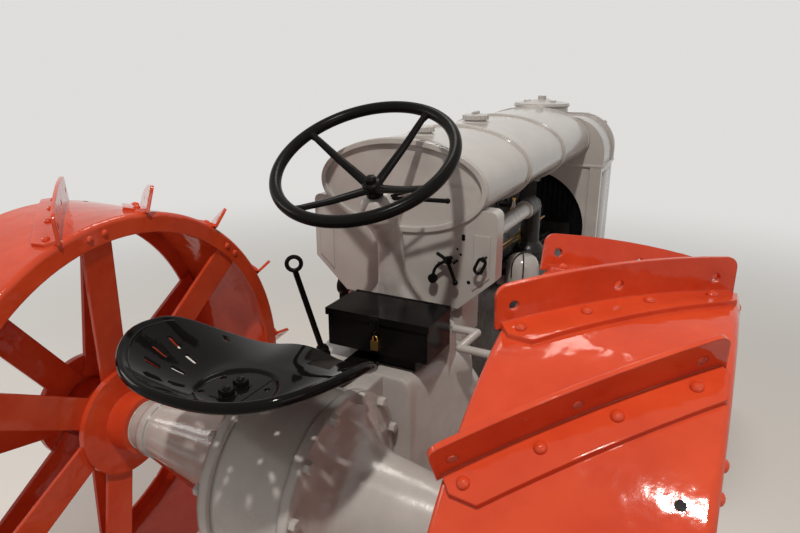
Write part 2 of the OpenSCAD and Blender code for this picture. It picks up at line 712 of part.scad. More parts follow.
// Height, half width and depth of the slices that the column's foot runs through
foot_flare = [[404, 29, 31], [366, 39, 37], [330, 56, 43], [300, 84, 49], [272, 124, 55], [trans_top + 0.5, 146, 60]];
module foot_slice(size) translate([dash_x, 0, size[0] - 0.5]) linear_extrude(0.5)
    scale([size[2]/size[1], 1]) circle(size[1], $fn = 40);

module throttle_lever() color(black) at_rear() {
    difference() {
        union() {
            bar([345, -20, 560], [385, -163, 558], 9, 11);
            bar([344, -20, 559], [378, -98, 586], 8);
        }
        on_column() column_body(bearing_play);
    }
    translate([385, -163, 558]) sphere(d = 13, $fn = 24);
}

// Dash

module dash() color(grey) at_rear() difference() {
    union() {
        along(dash_x, dash_x + 22) dash2();
        along(dash_x, dash_x + 48) difference() {
            dash2();
            offset(delta = -14) dash2();
        }
        along(dash_x + 20, engine_back) translate([-gearbox_half, trans_top]) square([2*gearbox_half, 270]);
        // Boss that the air pipe leaves from
        translate([engine_back - 60, air_y, air_z]) rotate([0, 90, 0]) cylinder(d = 70, h = 60);
    }
    along(dash_x - 5, engine_back + 5) translate([0, tank_z]) tank_oval(tank_rim_h + face_play);
    translate([arm_x, gearbox_half - 55, arm_z]) rotate([-90, 0, 0]) cylinder(d = arm_shaft_d + 2*bearing_play, h = 80);
}
tank_rim_h = 4;
dash_top = 524;
module dash2() {
    half = dash_w/2;
    r = 18;
    polygon([[-half, 350], [-165, 262], [165, 262], [half, 350], [half, dash_top - r], [half - r, dash_top],
             [-half + r, dash_top], [-half, dash_top - r]]);
    for (s = [-1, 1]) translate([s*(half - r), dash_top - r]) circle(r);
}

module dash_controls() color(black) at_rear() {
    // Spark lever: a bent lever on a stub
    translate([lever_x - 5, -142, 396]) rotate([0, 90, 0]) {
        cylinder(d = 19, h = 11);
        cylinder(d = 12, h = dash_x - lever_x + 5);
    }
    bar([lever_x, -142, 396], [lever_x, -114, 411], 9);
    bar([lever_x, -142, 396], [lever_x, -165, 341], 9);
    translate([lever_x, -165, 340]) sphere(d = 15, $fn = 24);
    // Bowed lever with a round end, on a stub of its own
    translate([lever_x, -147, 350]) rotate([90, 0, 90]) rotate_extrude(angle = 100) translate([42, 0])
        circle(d = 8, $fn = 16);
    translate([lever_x - 5, -104, 343]) rotate([0, 90, 0]) cylinder(d = 24, h = 9);
    // Pull ring: a long ring that hangs a little askew from an eye on its rod
    translate([ring_x, ring_y, ring_z]) rotate([24, 0, 0]) {
        for (s = [-1, 1]) {
            translate([0, s*ring_r, -10]) cylinder(d = 8, h = 20, $fn = 16);
            translate([0, 0, s*10]) rotate([90, s < 0 ? 180 : 0, 90]) rotate_extrude(angle = 180)
                translate([ring_r, 0]) circle(d = 8, $fn = 16);
        }
        translate([-5, -5, ring_r + 5]) cube([10, 10, 10]);
        translate([0, 0, ring_r + 10]) rotate([0, 90, 0]) cylinder(d = 6, h = dash_x - ring_x);
    }
}
// Places of the levers and the ring behind the dash
lever_x = 440;
ring_x = 438;
ring_y = -229;
ring_z = 393;
ring_r = 9.5;

tank_back = dash_x - 6;
tank_front = rad_back - 8;
module fuel_tank() color(grey) at_rear() translate([0, 0, tank_z]) {
    along(tank_back + 10, tank_front - 10) tank_oval();
    along(tank_back, tank_back + 14) difference() {
        tank_oval(tank_rim_h);
        tank_oval(-9);
    }
    along(tank_front - 14, tank_front) tank_oval(tank_rim_h);
    for (x = [tank_back + 360, tank_back + 760]) along(x, x + 26) tank_oval(tank_band_h);
}

module filler_caps() color(grey) at_rear() difference() {
    union() {
        translate([985, 0, tank_z + tank_h/2 - 10]) cylinder(d = 96, h = 32);
        translate([601, 0, tank_z + tank_h/2 - 10]) cylinder(d = 60, h = 24);
    }
    along(tank_back, tank_front) translate([0, tank_z]) tank_oval(bearing_play);
}

// Driver's controls

module gear_lever() color(black) at_rear() {
    bar([240, 104, trans_top + 18], [114, 84, 429], 15);
    translate([240, 104, trans_top + 18]) sphere(d = 34, $fn = 32);
    translate([108, 83, 449]) rotate([90, 0, 48]) rotate_extrude() translate([18, 0]) circle(d = 10, $fn = 16);
    translate([240, 104, trans_top]) cylinder(d = 40, h = 16);
}

// Place of the pedal's shaft on its lug
pedal_x = 405;
pedal_z = 233;
module clutch_pedal() color(grey) at_rear() {
    pedal_d = 20;
    elbow = [pedal_x, -240, pedal_z];
    knee = [pedal_x - 42, -212, pedal_z - 29];
    tip = [pedal_x - 42, -292, pedal_z - 30];
    bar([pedal_x, -178, pedal_z], elbow, pedal_d);
    bar(elbow, knee, pedal_d);
    bar(knee, tip, pedal_d);
    for (p = [elbow, knee]) translate(p) sphere(d = pedal_d + 1, $fn = 24);
    translate(tip + [-22, -50, -8]) cube([44, 52, 14]);
}

toolbox_x = 240;
toolbox_y = -182;
toolbox_z = 206;
module toolbox() color(black) at_rear() translate([toolbox_x, toolbox_y, toolbox_z]) {
    difference() {
        cube([toolbox_d, toolbox_l, toolbox_h]);
        translate([3, 3, 3]) cube([toolbox_d - 6, toolbox_l - 6, toolbox_h]);
    }
    // Bracket under the box and the staple that holds the padlock
    translate([30, 44, trans_top - toolbox_z]) cube([70, 100, toolbox_z - trans_top]);
    // Ears that hold the lid's hinge pin
    for (y = [2, toolbox_l - 8]) translate([toolbox_d - 1, y, toolbox_h - 12]) cube([hinge_x - toolbox_d + 5, 6, 17]);
    translate([hinge_x, 2, toolbox_h + hinge_z]) rotate([-90, 0, 0]) cylinder(d = hinge_pin_d, h = toolbox_l - 4);
    translate([1, toolbox_l/2, staple_z]) rotate([90, 0, 0]) rotate([0, 0, 90]) rotate_extrude(angle = 180)
        translate([staple_r + 1, 0]) circle(d = lock_bar_d, $fn = 16);
}
// The lid's hinge: its place from the box's back corner, its barrel and its pin
hinge_x = toolbox_d + 4.3;
hinge_z = 1.8;
hinge_barrel_d = 8;
hinge_pin_d = 3.5;
staple_z = 50;
staple_r = 10;
lock_bar_d = 3.5;

lid_t = 14;
module toolbox_lid() color(black) at_rear() translate([toolbox_x, toolbox_y, toolbox_z + toolbox_h]) {
    translate([-5, -5, face_play]) cube([toolbox_d - 1, toolbox_l + 10, 3]);
    // Barrel of the hinge along the back edge
    difference() {
        union() {
            translate([hinge_x, 9, hinge_z]) rotate([-90, 0, 0]) cylinder(d = hinge_barrel_d, h = toolbox_l - 18);
            translate([toolbox_d - 7, 9, face_play]) cube([hinge_x - toolbox_d + 7, toolbox_l - 18, 3]);
        }
        translate([hinge_x, 0, hinge_z]) rotate([-90, 0, 0])
            cylinder(d = hinge_pin_d + 2*bearing_play, h = toolbox_l);
    }
    translate([-5, -5, -lid_t]) cube([3, toolbox_l + 10, lid_t + 1]);
    for (y = [-5, toolbox_l + 2]) translate([-5, y, -lid_t]) cube([toolbox_d - 10, 3, lid_t + 1]);
    translate([-8, toolbox_l/2 - 10, -24]) cube([3.5, 20, 27]);
}

// The padlock hangs flat against the box, its bow through the staple
lock_t = 10;
bow_r = 6;
module padlock() color([0.7, 0.5, 0.2]) at_rear()
    translate([toolbox_x - lock_t/2 - face_play, toolbox_y + toolbox_l/2, toolbox_z + staple_z - 3 - bow_r]) {
        rotate([90, 0, 90]) rotate_extrude(angle = 180) translate([bow_r, 0]) circle(d = lock_bar_d, $fn = 16);
        for (s = [-1, 1]) translate([0, s*bow_r, -6]) cylinder(d = lock_bar_d, h = 6, $fn = 16);
        translate([-lock_t/2, -10, -29]) cube([lock_t, 20, 24]);
    }

// Seat

seat_x = -142;
seat_z = 305;
// Points round the pan, and rings from its middle to its edge
seat_steps = 44;
seat_rings = 8;
// Share of the pan that is flat, and how steeply the rest rises
seat_flat = 0.38;
seat_power = 1.6;
// How square the outline's corners are: 2 is an ellipse
seat_square = 2.4;

function seat_pow(v) = sign(v)*pow(abs(v), 2/seat_square);
// Rise of the edge over the flat, by the angle from the front: low thighs, a small nose, high sides and back
function seat_edge(a) = 39 - 31*cos(a) - 29*cos(2*a) + 16*exp(-pow((a > 180 ? a - 360 : a)/13, 2));
function seat_rise(u, a) = u < seat_flat ? 0 : seat_edge(a)*pow((u - seat_flat)/(1 - seat_flat), seat_power);
// A point of the pan: share of the way out, step further out and height over the pressed sheet
function seat_point(u, out, up, a) =
    let (x = seat_pow(cos(a)), y = seat_pow(sin(a)), v = [seat_l/2*x, seat_w/2*y], n = [x/seat_l, y/seat_w]/norm([x/seat_l, y/seat_w]))
    [v[0]*u + n[0]*out, v[1]*u + n[1]*out, seat_rise(u, a) + seat_t + up];

// From the middle over the top, round the rolled edge and back underneath
seat_bead_r = seat_bead/2;
seat_profile = concat(
    [for (i = [1:seat_rings]) [i/seat_rings, 0, 0]],
    [for (t = [45:45:270]) [1, seat_bead_r*sin(t), seat_bead_r*(cos(t) - 1)]],
    [for (i = [seat_rings - 1:-1:1]) [i/seat_rings, 0, -seat_t]]);
module seat() color(black) at_rear() translate([seat_x, 0, seat_z]) {
    rows = len(seat_profile);
    middle = rows*seat_steps;
    points = concat(
        [for (p = seat_profile, j = [0:seat_steps - 1]) seat_point(p[0], p[1], p[2], j*360/seat_steps)],
        [[0, 0, seat_t], [0, 0, 0]]);
    side = [for (i = [0:rows - 2], j = [0:seat_steps - 1])
        let (k = (j + 1) % seat_steps, a = i*seat_steps) each [
            [a + j, a + seat_steps + j, a + seat_steps + k],
            [a + j, a + seat_steps + k, a + k]]];
    caps = [for (j = [0:seat_steps - 1])
        let (k = (j + 1) % seat_steps, a = (rows - 1)*seat_steps) each [
            [middle, j, k],
            [middle + 1, a + k, a + j]]];
    polyhedron(points = points, faces = [for (f = concat(side, caps)) [f[0], f[2], f[1]]]);
}

// The spring's leaf: flat under the seat, then down in a smooth curve and forward under the toolbox
spring_t = 12;
spring_low = trans_top + spring_t;
function spring_z(i) = spring_low + (seat_z - spring_low)*(1 - cos(180*i/12))/2;
module seat_spring() color(black) at_rear() across(-32, 32) {
    top = [for (i = [0:12]) [190 - i*265/12, spring_z(i)]];
    points = concat([[378, spring_low]], top, [[-225, seat_z]]);
    polygon(concat(points, [for (i = [len(points) - 1:-1:0]) points[i] - [0, spring_t]]));
}

starter_throw = 165;
module starting_crank() color(black) at_rear() {
    tip = wheelbase + crank_reach;
    back = rad_back + rad_depth - 12;
    throw_x = rad_front + 50;
    translate([0, 0, starter_z]) rotate([0, 90, 0]) {
        translate([0, 0, back]) cylinder(d = 26, h = throw_x - back + 12);
        translate([starter_throw, 0, throw_x - 10]) cylinder(d = 20, h = tip - throw_x + 10);
        translate([starter_throw, 0, throw_x + 16]) cylinder(d = 34, h = tip - throw_x - 16);
    }
    translate([throw_x, 0, starter_z - starter_throw - 12]) cylinder(d = 22, h = starter_throw + 24);
}

rear_axle_housing();
axle_tube_left();
axle_tube_right();
transmission_case();
engine_block();
cylinder_head();
crankcase();
exhaust_manifold();
air_pipe();
fuel_strainer();
radiator_bottom_tank();
radiator_core();
radiator_columns();
radiator_top_tank();
radiator_cap();
fan_shroud();
fan();
front_support();
front_axle();
knuckle_left();
knuckle_right();
front_wheel_left();
front_wheel_right();
radius_rods();
tie_rod();
drag_link();
steering_arm();
steering_column();
steering_wheel();
throttle_lever();
dash();
dash_controls();
fuel_tank();
filler_caps();
gear_lever();
clutch_pedal();
toolbox();
toolbox_lid();
padlock();
seat();
seat_spring();
rear_wheel_left();
rear_wheel_right();
drawbar();
starting_crank();
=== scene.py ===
import bpy
import bmesh
import json
import math
from mathutils import Matrix, Vector


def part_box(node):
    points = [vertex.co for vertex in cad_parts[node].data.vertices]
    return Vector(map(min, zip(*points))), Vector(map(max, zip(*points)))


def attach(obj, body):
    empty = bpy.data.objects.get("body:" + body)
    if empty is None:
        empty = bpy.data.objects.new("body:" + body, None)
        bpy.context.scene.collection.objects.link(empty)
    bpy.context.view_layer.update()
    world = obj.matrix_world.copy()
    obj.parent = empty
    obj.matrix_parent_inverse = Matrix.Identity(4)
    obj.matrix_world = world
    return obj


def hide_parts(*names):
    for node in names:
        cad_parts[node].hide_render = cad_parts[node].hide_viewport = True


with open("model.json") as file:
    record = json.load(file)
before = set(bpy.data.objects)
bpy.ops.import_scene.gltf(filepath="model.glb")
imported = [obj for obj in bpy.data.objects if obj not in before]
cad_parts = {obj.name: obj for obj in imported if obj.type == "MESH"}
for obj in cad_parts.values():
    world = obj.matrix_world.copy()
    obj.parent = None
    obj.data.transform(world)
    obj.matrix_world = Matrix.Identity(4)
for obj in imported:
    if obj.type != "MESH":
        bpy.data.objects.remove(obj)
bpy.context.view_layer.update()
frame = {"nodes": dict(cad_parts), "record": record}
nodes = frame["nodes"]

# Places shared with the part's source: the axles' middles in metres, the rest in millimetres and degrees
MM = 0.001
REAR = Vector((-0.72575, 0.0, 0.5955))
FRONT = Vector((0.87425, 0.0, 0.3745))
REAR_R = 533.5
RIM_IN, RIM_OUT = 476.0, 781.0
CLEATS, CLEAT_PHASE, CLEAT_SLANT, CLEAT_T = 14, 94.1, 40.0, 8.0
CLEAT_Y = 618.5
SPOKES, SPOKE_PHASE = 7, 97.3
FRONT_R, FRONT_SPOKES, FRONT_MID = 355.5, 12, 605.0

# Directions, and the tractor's two sides
AHEAD, BACK = (1, 0, 0), (-1, 0, 0)
UP, DOWN = (0, 0, 1), (0, 0, -1)
LEFT, RIGHT = (0, 1, 0), (0, -1, 0)
SIDES = ((1, "left"), (-1, "right"))


def at_rear(x, y, z):
    """A point given in millimetres from the middle of the rear axle."""
    return REAR + Vector((x, y, z)) * MM


def at_front(x, y, z):
    """A point given in millimetres from the middle of the front axle."""
    return FRONT + Vector((x, y, z)) * MM


# Materials: paint tones, the size of their patches and the depth of the paint's unevenness in metres
GREY, GREY_SHADE, SHEET_SHADE = (0.47, 0.445, 0.425), (0.41, 0.385, 0.365), (0.43, 0.405, 0.385)
BLACK, BLACK_SHADE = (0.0065, 0.006, 0.006), (0.005, 0.0045, 0.0045)
PAINT_IOR, COAT_ROUGH = 1.5, 0.06
TONE_SCALE, TONE_STOPS = 9.0, (0.34, 0.62)
GLOSS_SCALE, GLOSS_STOPS, GLOSS_SHARES = 23.0, (0.3, 0.7), (0.75, 1.3)
SAG_DEPTH, PEBBLE_DEPTH = 0.004, 0.0008


def new_material(name):
    m = bpy.data.materials.new(name)
    m.use_nodes = True
    return m, m.node_tree, m.node_tree.nodes["Principled BSDF"]


def add(tree, kind, **props):
    n = tree.nodes.new(kind)
    for k, v in props.items():
        setattr(n, k, v)
    return n


def set_in(node, **values):
    """Sets inputs by name, with _ for each space."""
    for k, v in values.items():
        node.inputs[k.replace("_", " ")].default_value = v


def link(tree, *pairs):
    for source, target in pairs:
        tree.links.new(source, target)


def noise(tree, scale, detail, rough):
    """Noise in the object's own space, so that it stays put when the object turns."""
    coord = add(tree, "ShaderNodeTexCoord")
    n = add(tree, "ShaderNodeTexNoise")
    set_in(n, Scale=scale, Detail=detail, Roughness=rough)
    link(tree, (coord.outputs["Object"], n.inputs["Vector"]))
    return n.outputs["Fac"]


def ramp(tree, fac, positions, values):
    """Runs from one colour or grey level to another between two positions."""
    r = add(tree, "ShaderNodeValToRGB")
    for stop, position, value in zip(r.color_ramp.elements, positions, values):
        stop.position = position
        stop.color = (*value, 1.0) if isinstance(value, tuple) else (value, value, value, 1.0)
    link(tree, (fac, r.inputs["Fac"]))
    return r.outputs["Color"]


def bump(tree, height, strength, distance, normal=None):
    """Raises the surface by a height, over another normal where one is given."""
    n = add(tree, "ShaderNodeBump")
    set_in(n, Strength=strength, Distance=distance)
    link(tree, (height, n.inputs["Height"]))
    if normal is not None:
        link(tree, (normal, n.inputs["Normal"]))
    return n.outputs["Normal"]


def paint(name, color, dark, rough, coat=0.3, pebble=400.0, pebble_lift=0.10, sag=14.0, sag_lift=0.20,
          soften=0.0, shine=0.5):
    """Thick paint: patchy tone and gloss, fine pebbling over slow sags, and edges rounded by soften.

    Lengths are in metres. pebble and sag are the scales of their noise, and the lifts are its strengths.
    """
    m, t, b = new_material(name)
    set_in(b, IOR=PAINT_IOR, Specular_IOR_Level=shine, Coat_Weight=coat, Coat_Roughness=COAT_ROUGH)
    tone = ramp(t, noise(t, TONE_SCALE, 4.0, 0.6), TONE_STOPS, (dark, color))
    gloss = ramp(t, noise(t, GLOSS_SCALE, 4.0, 0.65), GLOSS_STOPS, [rough * s for s in GLOSS_SHARES])
    link(t, (tone, b.inputs["Base Color"]), (gloss, b.inputs["Roughness"]))
    rounded = None
    if soften:
        edge = add(t, "ShaderNodeBevel", samples=4)
        set_in(edge, Radius=soften)
        rounded = edge.outputs["Normal"]
    slow = bump(t, noise(t, sag, 2.0, 0.5), sag_lift, SAG_DEPTH, rounded)
    fine = bump(t, noise(t, pebble, 2.0, 0.5), pebble_lift, PEBBLE_DEPTH, slow)
    link(t, (fine, b.inputs["Normal"]), (fine, b.inputs["Coat Normal"]))
    return m


red = paint("red_paint", (0.61, 0.066, 0.020), (0.53, 0.048, 0.014), 0.075, coat=0.0, pebble=260,
            pebble_lift=0.08, sag=21, sag_lift=0.42, soften=0.0035, shine=0.3)
grey = paint("grey_paint", GREY, GREY_SHADE, 0.24, pebble=260, pebble_lift=0.18, sag=16, sag_lift=0.16,
             soften=0.004)
sheet = paint("grey_sheet", GREY, SHEET_SHADE, 0.17, pebble=260, pebble_lift=0.05, sag=9, sag_lift=0.10,
              soften=0.003)
casting = paint("grey_casting", GREY, GREY_SHADE, 0.22, pebble=240, pebble_lift=0.24, sag=16, sag_lift=0.20,
                soften=0.012)
enamel = paint("black_enamel", BLACK, BLACK_SHADE, 0.055, coat=0.0, pebble=120, pebble_lift=0.06, sag=22,
               sag_lift=0.10, shine=0.06)
dull_enamel = paint("black_enamel_dull", BLACK, BLACK_SHADE, 0.2, coat=0.0, pebble=120, pebble_lift=0.06,
                    sag=22, sag_lift=0.10, shine=0.08)
satin = paint("black_satin", (0.008, 0.0075, 0.007), (0.006, 0.0055, 0.005), 0.24, coat=0.0, pebble=90,
              pebble_lift=0.05, sag=22, sag_lift=0.10, shine=0.05)
iron = paint("black_iron", (0.018, 0.017, 0.016), (0.009, 0.009, 0.009), 0.30, coat=0.0, pebble=420,
             pebble_lift=0.35, sag=20, sag_lift=0.15, soften=0.003, shine=0.2)
fins_black = paint("core_fins", (0.014, 0.014, 0.015), (0.008, 0.008, 0.008), 0.6, coat=0.0, shine=0.1)
brass, _, brass_shader = new_material("brass")
set_in(brass_shader, Base_Color=(0.62, 0.40, 0.13, 1.0), Metallic=1.0, Roughness=0.32)

# Each slot's material, and the nodes that look different from the rest of their slot
LOOK = {"red_paint": red, "grey_paint": grey, "black_enamel": enamel, "black_iron": iron,
        "core_fins": fins_black, "brass": brass}
SHEET = ("fuel_tank", "dash", "radiator_top_tank", "radiator_cap", "radiator_bottom_tank",
         "radiator_columns", "fan_shroud")
CAST = ("rear_axle_housing", "axle_tube_left", "axle_tube_right", "transmission_case")
DULL = ("toolbox", "toolbox_lid")
OWN_LOOK = {n: m for names, m in ((SHEET, sheet), (CAST, casting), (DULL, dull_enamel)) for n in names}
SLOT = {s["node"]: s["material_slot"] for s in frame["record"]["subparts"]}
for name, node in nodes.items():
    look = OWN_LOOK.get(name, LOOK[SLOT[name]])
    if not node.data.materials:
        node.data.materials.append(look)
    for i in range(len(node.data.materials)):
        node.data.materials[i] = look

# Building small pieces: how deep they're let in, and shares and thicknesses of washers, heads and studs
LET_IN = 0.5
WASHER_SHARE, WASHER_T = 1.12, 1.6
HEAD_LOW, HEAD_CHAMFER, HEAD_TOP_SHARE = 1.5, 1.5, 0.86
STUD_SHARE, STUD_TOP_SHARE = 0.3, 0.24
DOME_ROWS = 4


def around(count, closed=False):
    """Angles evenly round a full turn, where closed with the first place again at the end."""
    return [2 * math.pi * k / count for k in range(count + closed)]


def arc(start, end, step):
    """Angles from whole degrees."""
    return [math.radians(d) for d in range(start, end + 1, step)]


class Solid:
    """Gathers turned, swept and boxed shapes into one mesh. Sizes are in millimetres, places in metres."""

    def __init__(self):
        self.bm = bmesh.new()

    def row(self, points):
        """Corners at the given points."""
        return [self.bm.verts.new(p) for p in points]

    def join(self, a, b):
        """Faces between two rows of as many corners, or between a row and a single corner."""
        n = max(len(a), len(b))
        for k in range(n):
            m = (k + 1) % n
            if len(a) == 1:
                self.bm.faces.new((a[0], b[k], b[m]))
            elif len(b) == 1:
                self.bm.faces.new((a[k], b[0], a[m]))
            else:
                self.bm.faces.new((a[k], b[k], b[m], a[m]))

    def skin(self, rows):
        for a, b in zip(rows, rows[1:]):
            self.join(a, b)

    def cap(self, row, point):
        self.join(self.row([point]), row)

    def lathe(self, at, axis, profile, sides=20, turn=0.0):
        """Turns (radius, height) pairs round an axis from a point."""
        axis = Vector(axis).normalized()
        side = axis.orthogonal().normalized()
        spin = [Matrix.Rotation(turn + t, 3, axis) @ side for t in around(sides)]
        rows = []
        for r, h in profile:
            centre = Vector(at) + axis * (h * MM)
            rows.append(self.row([centre] if r == 0 else [centre + d * (r * MM) for d in spin]))
        self.skin(rows)

    def rod(self, p, q, d, d_end=None, sides=16):
        """A round bar between two points."""
        p, q = Vector(p), Vector(q)
        h = (q - p).length / MM
        self.lathe(p, q - p, [(0, 0), (d / 2, 0), ((d_end or d) / 2, h), (0, h)], sides)

    def dome(self, at, axis, d, h, sides=14):
        """A rivet's head."""
        quarter = [k * math.pi / 2 / DOME_ROWS for k in range(DOME_ROWS)]
        curve = [(d / 2 * math.cos(t), h * math.sin(t)) for t in quarter]
        self.lathe(at, axis, [(0, -LET_IN), (d / 2, -LET_IN)] + curve + [(0, h)], sides)

    def hex_bolt(self, at, axis, flats, h, turn=0.0, stud=0.0):
        """A hexagon head or nut on a washer and, where stud is given, the thread's end above it."""
        r = flats / 2 / math.cos(math.pi / 6)
        washer = r * WASHER_SHARE
        self.lathe(at, axis, [(0, -LET_IN), (washer, -LET_IN), (washer, WASHER_T), (0, WASHER_T)], 20)
        self.lathe(at, axis, [(0, HEAD_LOW), (r, HEAD_LOW), (r, h - HEAD_CHAMFER), (r * HEAD_TOP_SHARE, h),
                              (0, h)], 6, turn)
        if stud:
            thread, tip = flats * STUD_SHARE, flats * STUD_TOP_SHARE
            self.lathe(at, axis, [(0, h - 1), (thread, h - 1), (thread, h + stud - 1), (tip, h + stud),
                                  (0, h + stud)], 12)

    def ring(self, at, axis, r, wire, sides=36, wire_sides=10):
        """A round ring of wire."""
        section = [(r + wire / 2 * math.cos(t), wire / 2 * math.sin(t)) for t in around(wire_sides, True)]
        self.lathe(at, axis, section, sides)

    def tube(self, points, d, sides=10, closed=False):
        """A round tube along points, which meets its own start where closed."""
        pts = [Vector(p) for p in points]
        n = len(pts)
        rows, side = [], None
        for i, p in enumerate(pts):
            if closed:
                along = (pts[(i + 1) % n] - pts[i - 1]).normalized()
            else:
                along = (pts[min(i + 1, n - 1)] - pts[max(i - 1, 0)]).normalized()
            side = along.orthogonal() if side is None else side - along * side.dot(along)
            side.normalize()
            spin = [Matrix.Rotation(t, 3, along) @ side for t in around(sides)]
            rows.append(self.row([p + s * (d / 2 * MM) for s in spin]))
        self.skin(rows)
        if closed:
            self.join(rows[-1], rows[0])
        else:
            self.cap(rows[0], pts[0])
            self.cap(rows[-1], pts[-1])

    def block(self, centre, size, rounding=1.0):
        """A box with softened edges."""
        made = bmesh.new()
        scale = Matrix.Diagonal((size[0] * MM, size[1] * MM, size[2] * MM, 1))
        bmesh.ops.create_cube(made, size=1.0, matrix=scale)
        if rounding:
            bmesh.ops.bevel(made, geom=list(made.edges), offset=rounding * MM, segments=2, affect="EDGES",
                            profile=0.5)
        new = {v: self.bm.verts.new(Vector(centre) + v.co) for v in made.verts}
        for f in made.faces:
            self.bm.faces.new([new[v] for v in f.verts])
        made.free()

    def slab(self, outline, place, thick):
        """A flat plate: an outline of pairs, which place turns into points, and its thickness vector."""
        low = self.row([place(a, b) for a, b in outline])
        high = self.row([v.co + Vector(thick) * MM for v in low])
        self.bm.faces.new(low)
        self.bm.faces.new(high[::-1])
        self.join(low, high)

    def done(self, name, body, slot, material, smooth=38.0):
        """Makes the object, which rides on a body and takes the given material. slot is not used.

        Edges that turn by more than smooth degrees stay sharp.
        """
        bmesh.ops.recalc_face_normals(self.bm, faces=list(self.bm.faces))
        mesh = bpy.data.meshes.new(name)
        self.bm.to_mesh(mesh)
        self.bm.free()
        mesh.shade_smooth()
        mesh.set_sharp_from_angle(angle=math.radians(smooth))
        mesh.materials.append(material)
        obj = bpy.data.objects.new(name, mesh)
        bpy.context.scene.collection.objects.link(obj)
        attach(obj, body)
        return obj


def smooth_path(points, steps=6):
    """Points along a smooth curve through the given ones."""
    pts = [Vector(p) for p in points]
    ends = [pts[0] * 2 - pts[1]] + pts + [pts[-1] * 2 - pts[-2]]
    out = []
    for i in range(1, len(ends) - 2):
        a, b, c, d = ends[i - 1:i + 3]
        for k in range(steps):
            t = k / steps
            out.append(0.5 * (2 * b + (c - a) * t + (2 * a - 5 * b + 4 * c - d) * t * t
                              + (3 * b - a - 3 * c + d) * t * t * t))
    return out + [pts[-1]]


def bend(*places):
    """A smooth curve through places given in millimetres from the rear axle."""
    return smooth_path([at_rear(*p) for p in places])


def circle_of(count, r, phase=0.0):
    """(cosine, sine) places on a circle of radius r."""
    turns = [math.radians(phase) + t for t in around(count)]
    return [(r * math.cos(t), r * math.sin(t)) for t in turns]


# Rear wheels: rivets along a cleat, their line behind its leg, and their width and height
CLEAT_RIVETS, CLEAT_RIVET_LINE, CLEAT_RIVET = (-165.0, -64.5, 35.0, 139.0), -24.4, (17.5, 7)
# Black discs painted on the tread as the shade inside its holes, as many as cleats: place on the wheel,
# depth below the tread and outline
TREAD_HOLE_PHASE, TREAD_HOLE_Y, TREAD_HOLE_SINK = 128.3, 743, 3
TREAD_HOLE = ((0, 0), (6.5, 0), (6.5, 3.4), (0, 3.4))
# Rivets at a spoke's end on the band, and round the hub's outer flange as (radius, step across)
BAND_RIVET_DROP, BAND_RIVET_STEPS, BAND_RIVET = 26, (-20, 20), (17, 5.5)
HUB_RIVETS, HUB_FLANGE_Y, HUB_RIVET = ((92, 0), (122, -19), (122, 19)), 706.0, (20, 7)
# Hub cap and nut
HUB_CAP_Y, HUB_CAP = 759, ((0, 0), (42, 0), (40, 9), (30, 12), (0, 12))
HUB_NUT_Y, HUB_NUT = 770, ((0, 0), (26, 0), (26, 10), (22, 12), (0, 12))


def about_axle(x, y, z, angle):
    """A point of a cleat on top of the wheel, turned to its place as the solids are."""
    a = math.radians(angle)
    return Vector((x * math.cos(a) + z * math.sin(a), y, -x * math.sin(a) + z * math.cos(a)))


def tread_hole_shades(side, hand):
    # No hole is cut: each is a flat black disc, painted shade for a hole's dark inside
    holes = Solid()
    r = REAR_R - TREAD_HOLE_SINK
    for i in range(CLEATS):
        a = math.radians(TREAD_HOLE_PHASE + i * 360 / CLEATS)
        holes.lathe(at_rear(r * math.cos(a), side * TREAD_HOLE_Y, r * math.sin(a)),
                    (math.cos(a), 0, math.sin(a)), TREAD_HOLE, 20)
    holes.done("tread_hole_shades_" + hand, "rear_wheel_" + hand, "red_paint", fins_black)


def cleat_rivets(rivets, side):
    flip = Vector((1, side, 1))
    slant = math.radians(CLEAT_SLANT)
    base = REAR_R + CLEAT_T
    for i in range(CLEATS):
        angle = 90 - CLEAT_PHASE - i * 360 / CLEATS
        for u in CLEAT_RIVETS:
            x = CLEAT_RIVET_LINE * math.cos(slant) + u * math.sin(slant)
            y = -CLEAT_RIVET_LINE * math.sin(slant) + u * math.cos(slant)
            z = math.sqrt(base * base - x * x)
            p = about_axle(x, y + CLEAT_Y, z, angle)
            n = about_axle(x, 0, z, angle)
            rivets.dome(at_rear(*(p * flip)), n * flip, *CLEAT_RIVET)


def spoke_rivets(rivets, side):
    for i in range(SPOKES):
        for row, face, way in ((0.0, RIM_IN, -1), (0.5, RIM_OUT, 1)):
            a = math.radians(SPOKE_PHASE + (i + row) * 360 / SPOKES)
            ray = Vector((math.cos(a), 0, math.sin(a)))
            across = Vector((-math.sin(a), 0, math.cos(a)))
            for s in BAND_RIVET_STEPS:
                p = ray * (REAR_R - BAND_RIVET_DROP) + across * s
                rivets.dome(at_rear(p.x, side * face, p.z), (0, side * way, 0), *BAND_RIVET)
            if way > 0:
                for r, s in HUB_RIVETS:
                    p = ray * r + across * s
                    rivets.dome(at_rear(p.x, side * HUB_FLANGE_Y, p.z), (0, side, 0), *HUB_RIVET)


def rear_hub_cap(side, hand):
    hub = Solid()
    hub.lathe(at_rear(0, side * HUB_CAP_Y, 0), (0, side, 0), HUB_CAP, 40)
    hub.lathe(at_rear(0, side * HUB_NUT_Y, 0), (0, side, 0), HUB_NUT, 6)
    hub.done("rear_hub_cap_" + hand, "rear_wheel_" + hand, "red_paint", red)


for side, hand in SIDES:
    tread_hole_shades(side, hand)
    rivets = Solid()
    cleat_rivets(rivets, side)
    spoke_rivets(rivets, side)
    rivets.done("rear_rivets_" + hand, "rear_wheel_" + hand, "red_paint", red)
    rear_hub_cap(side, hand)

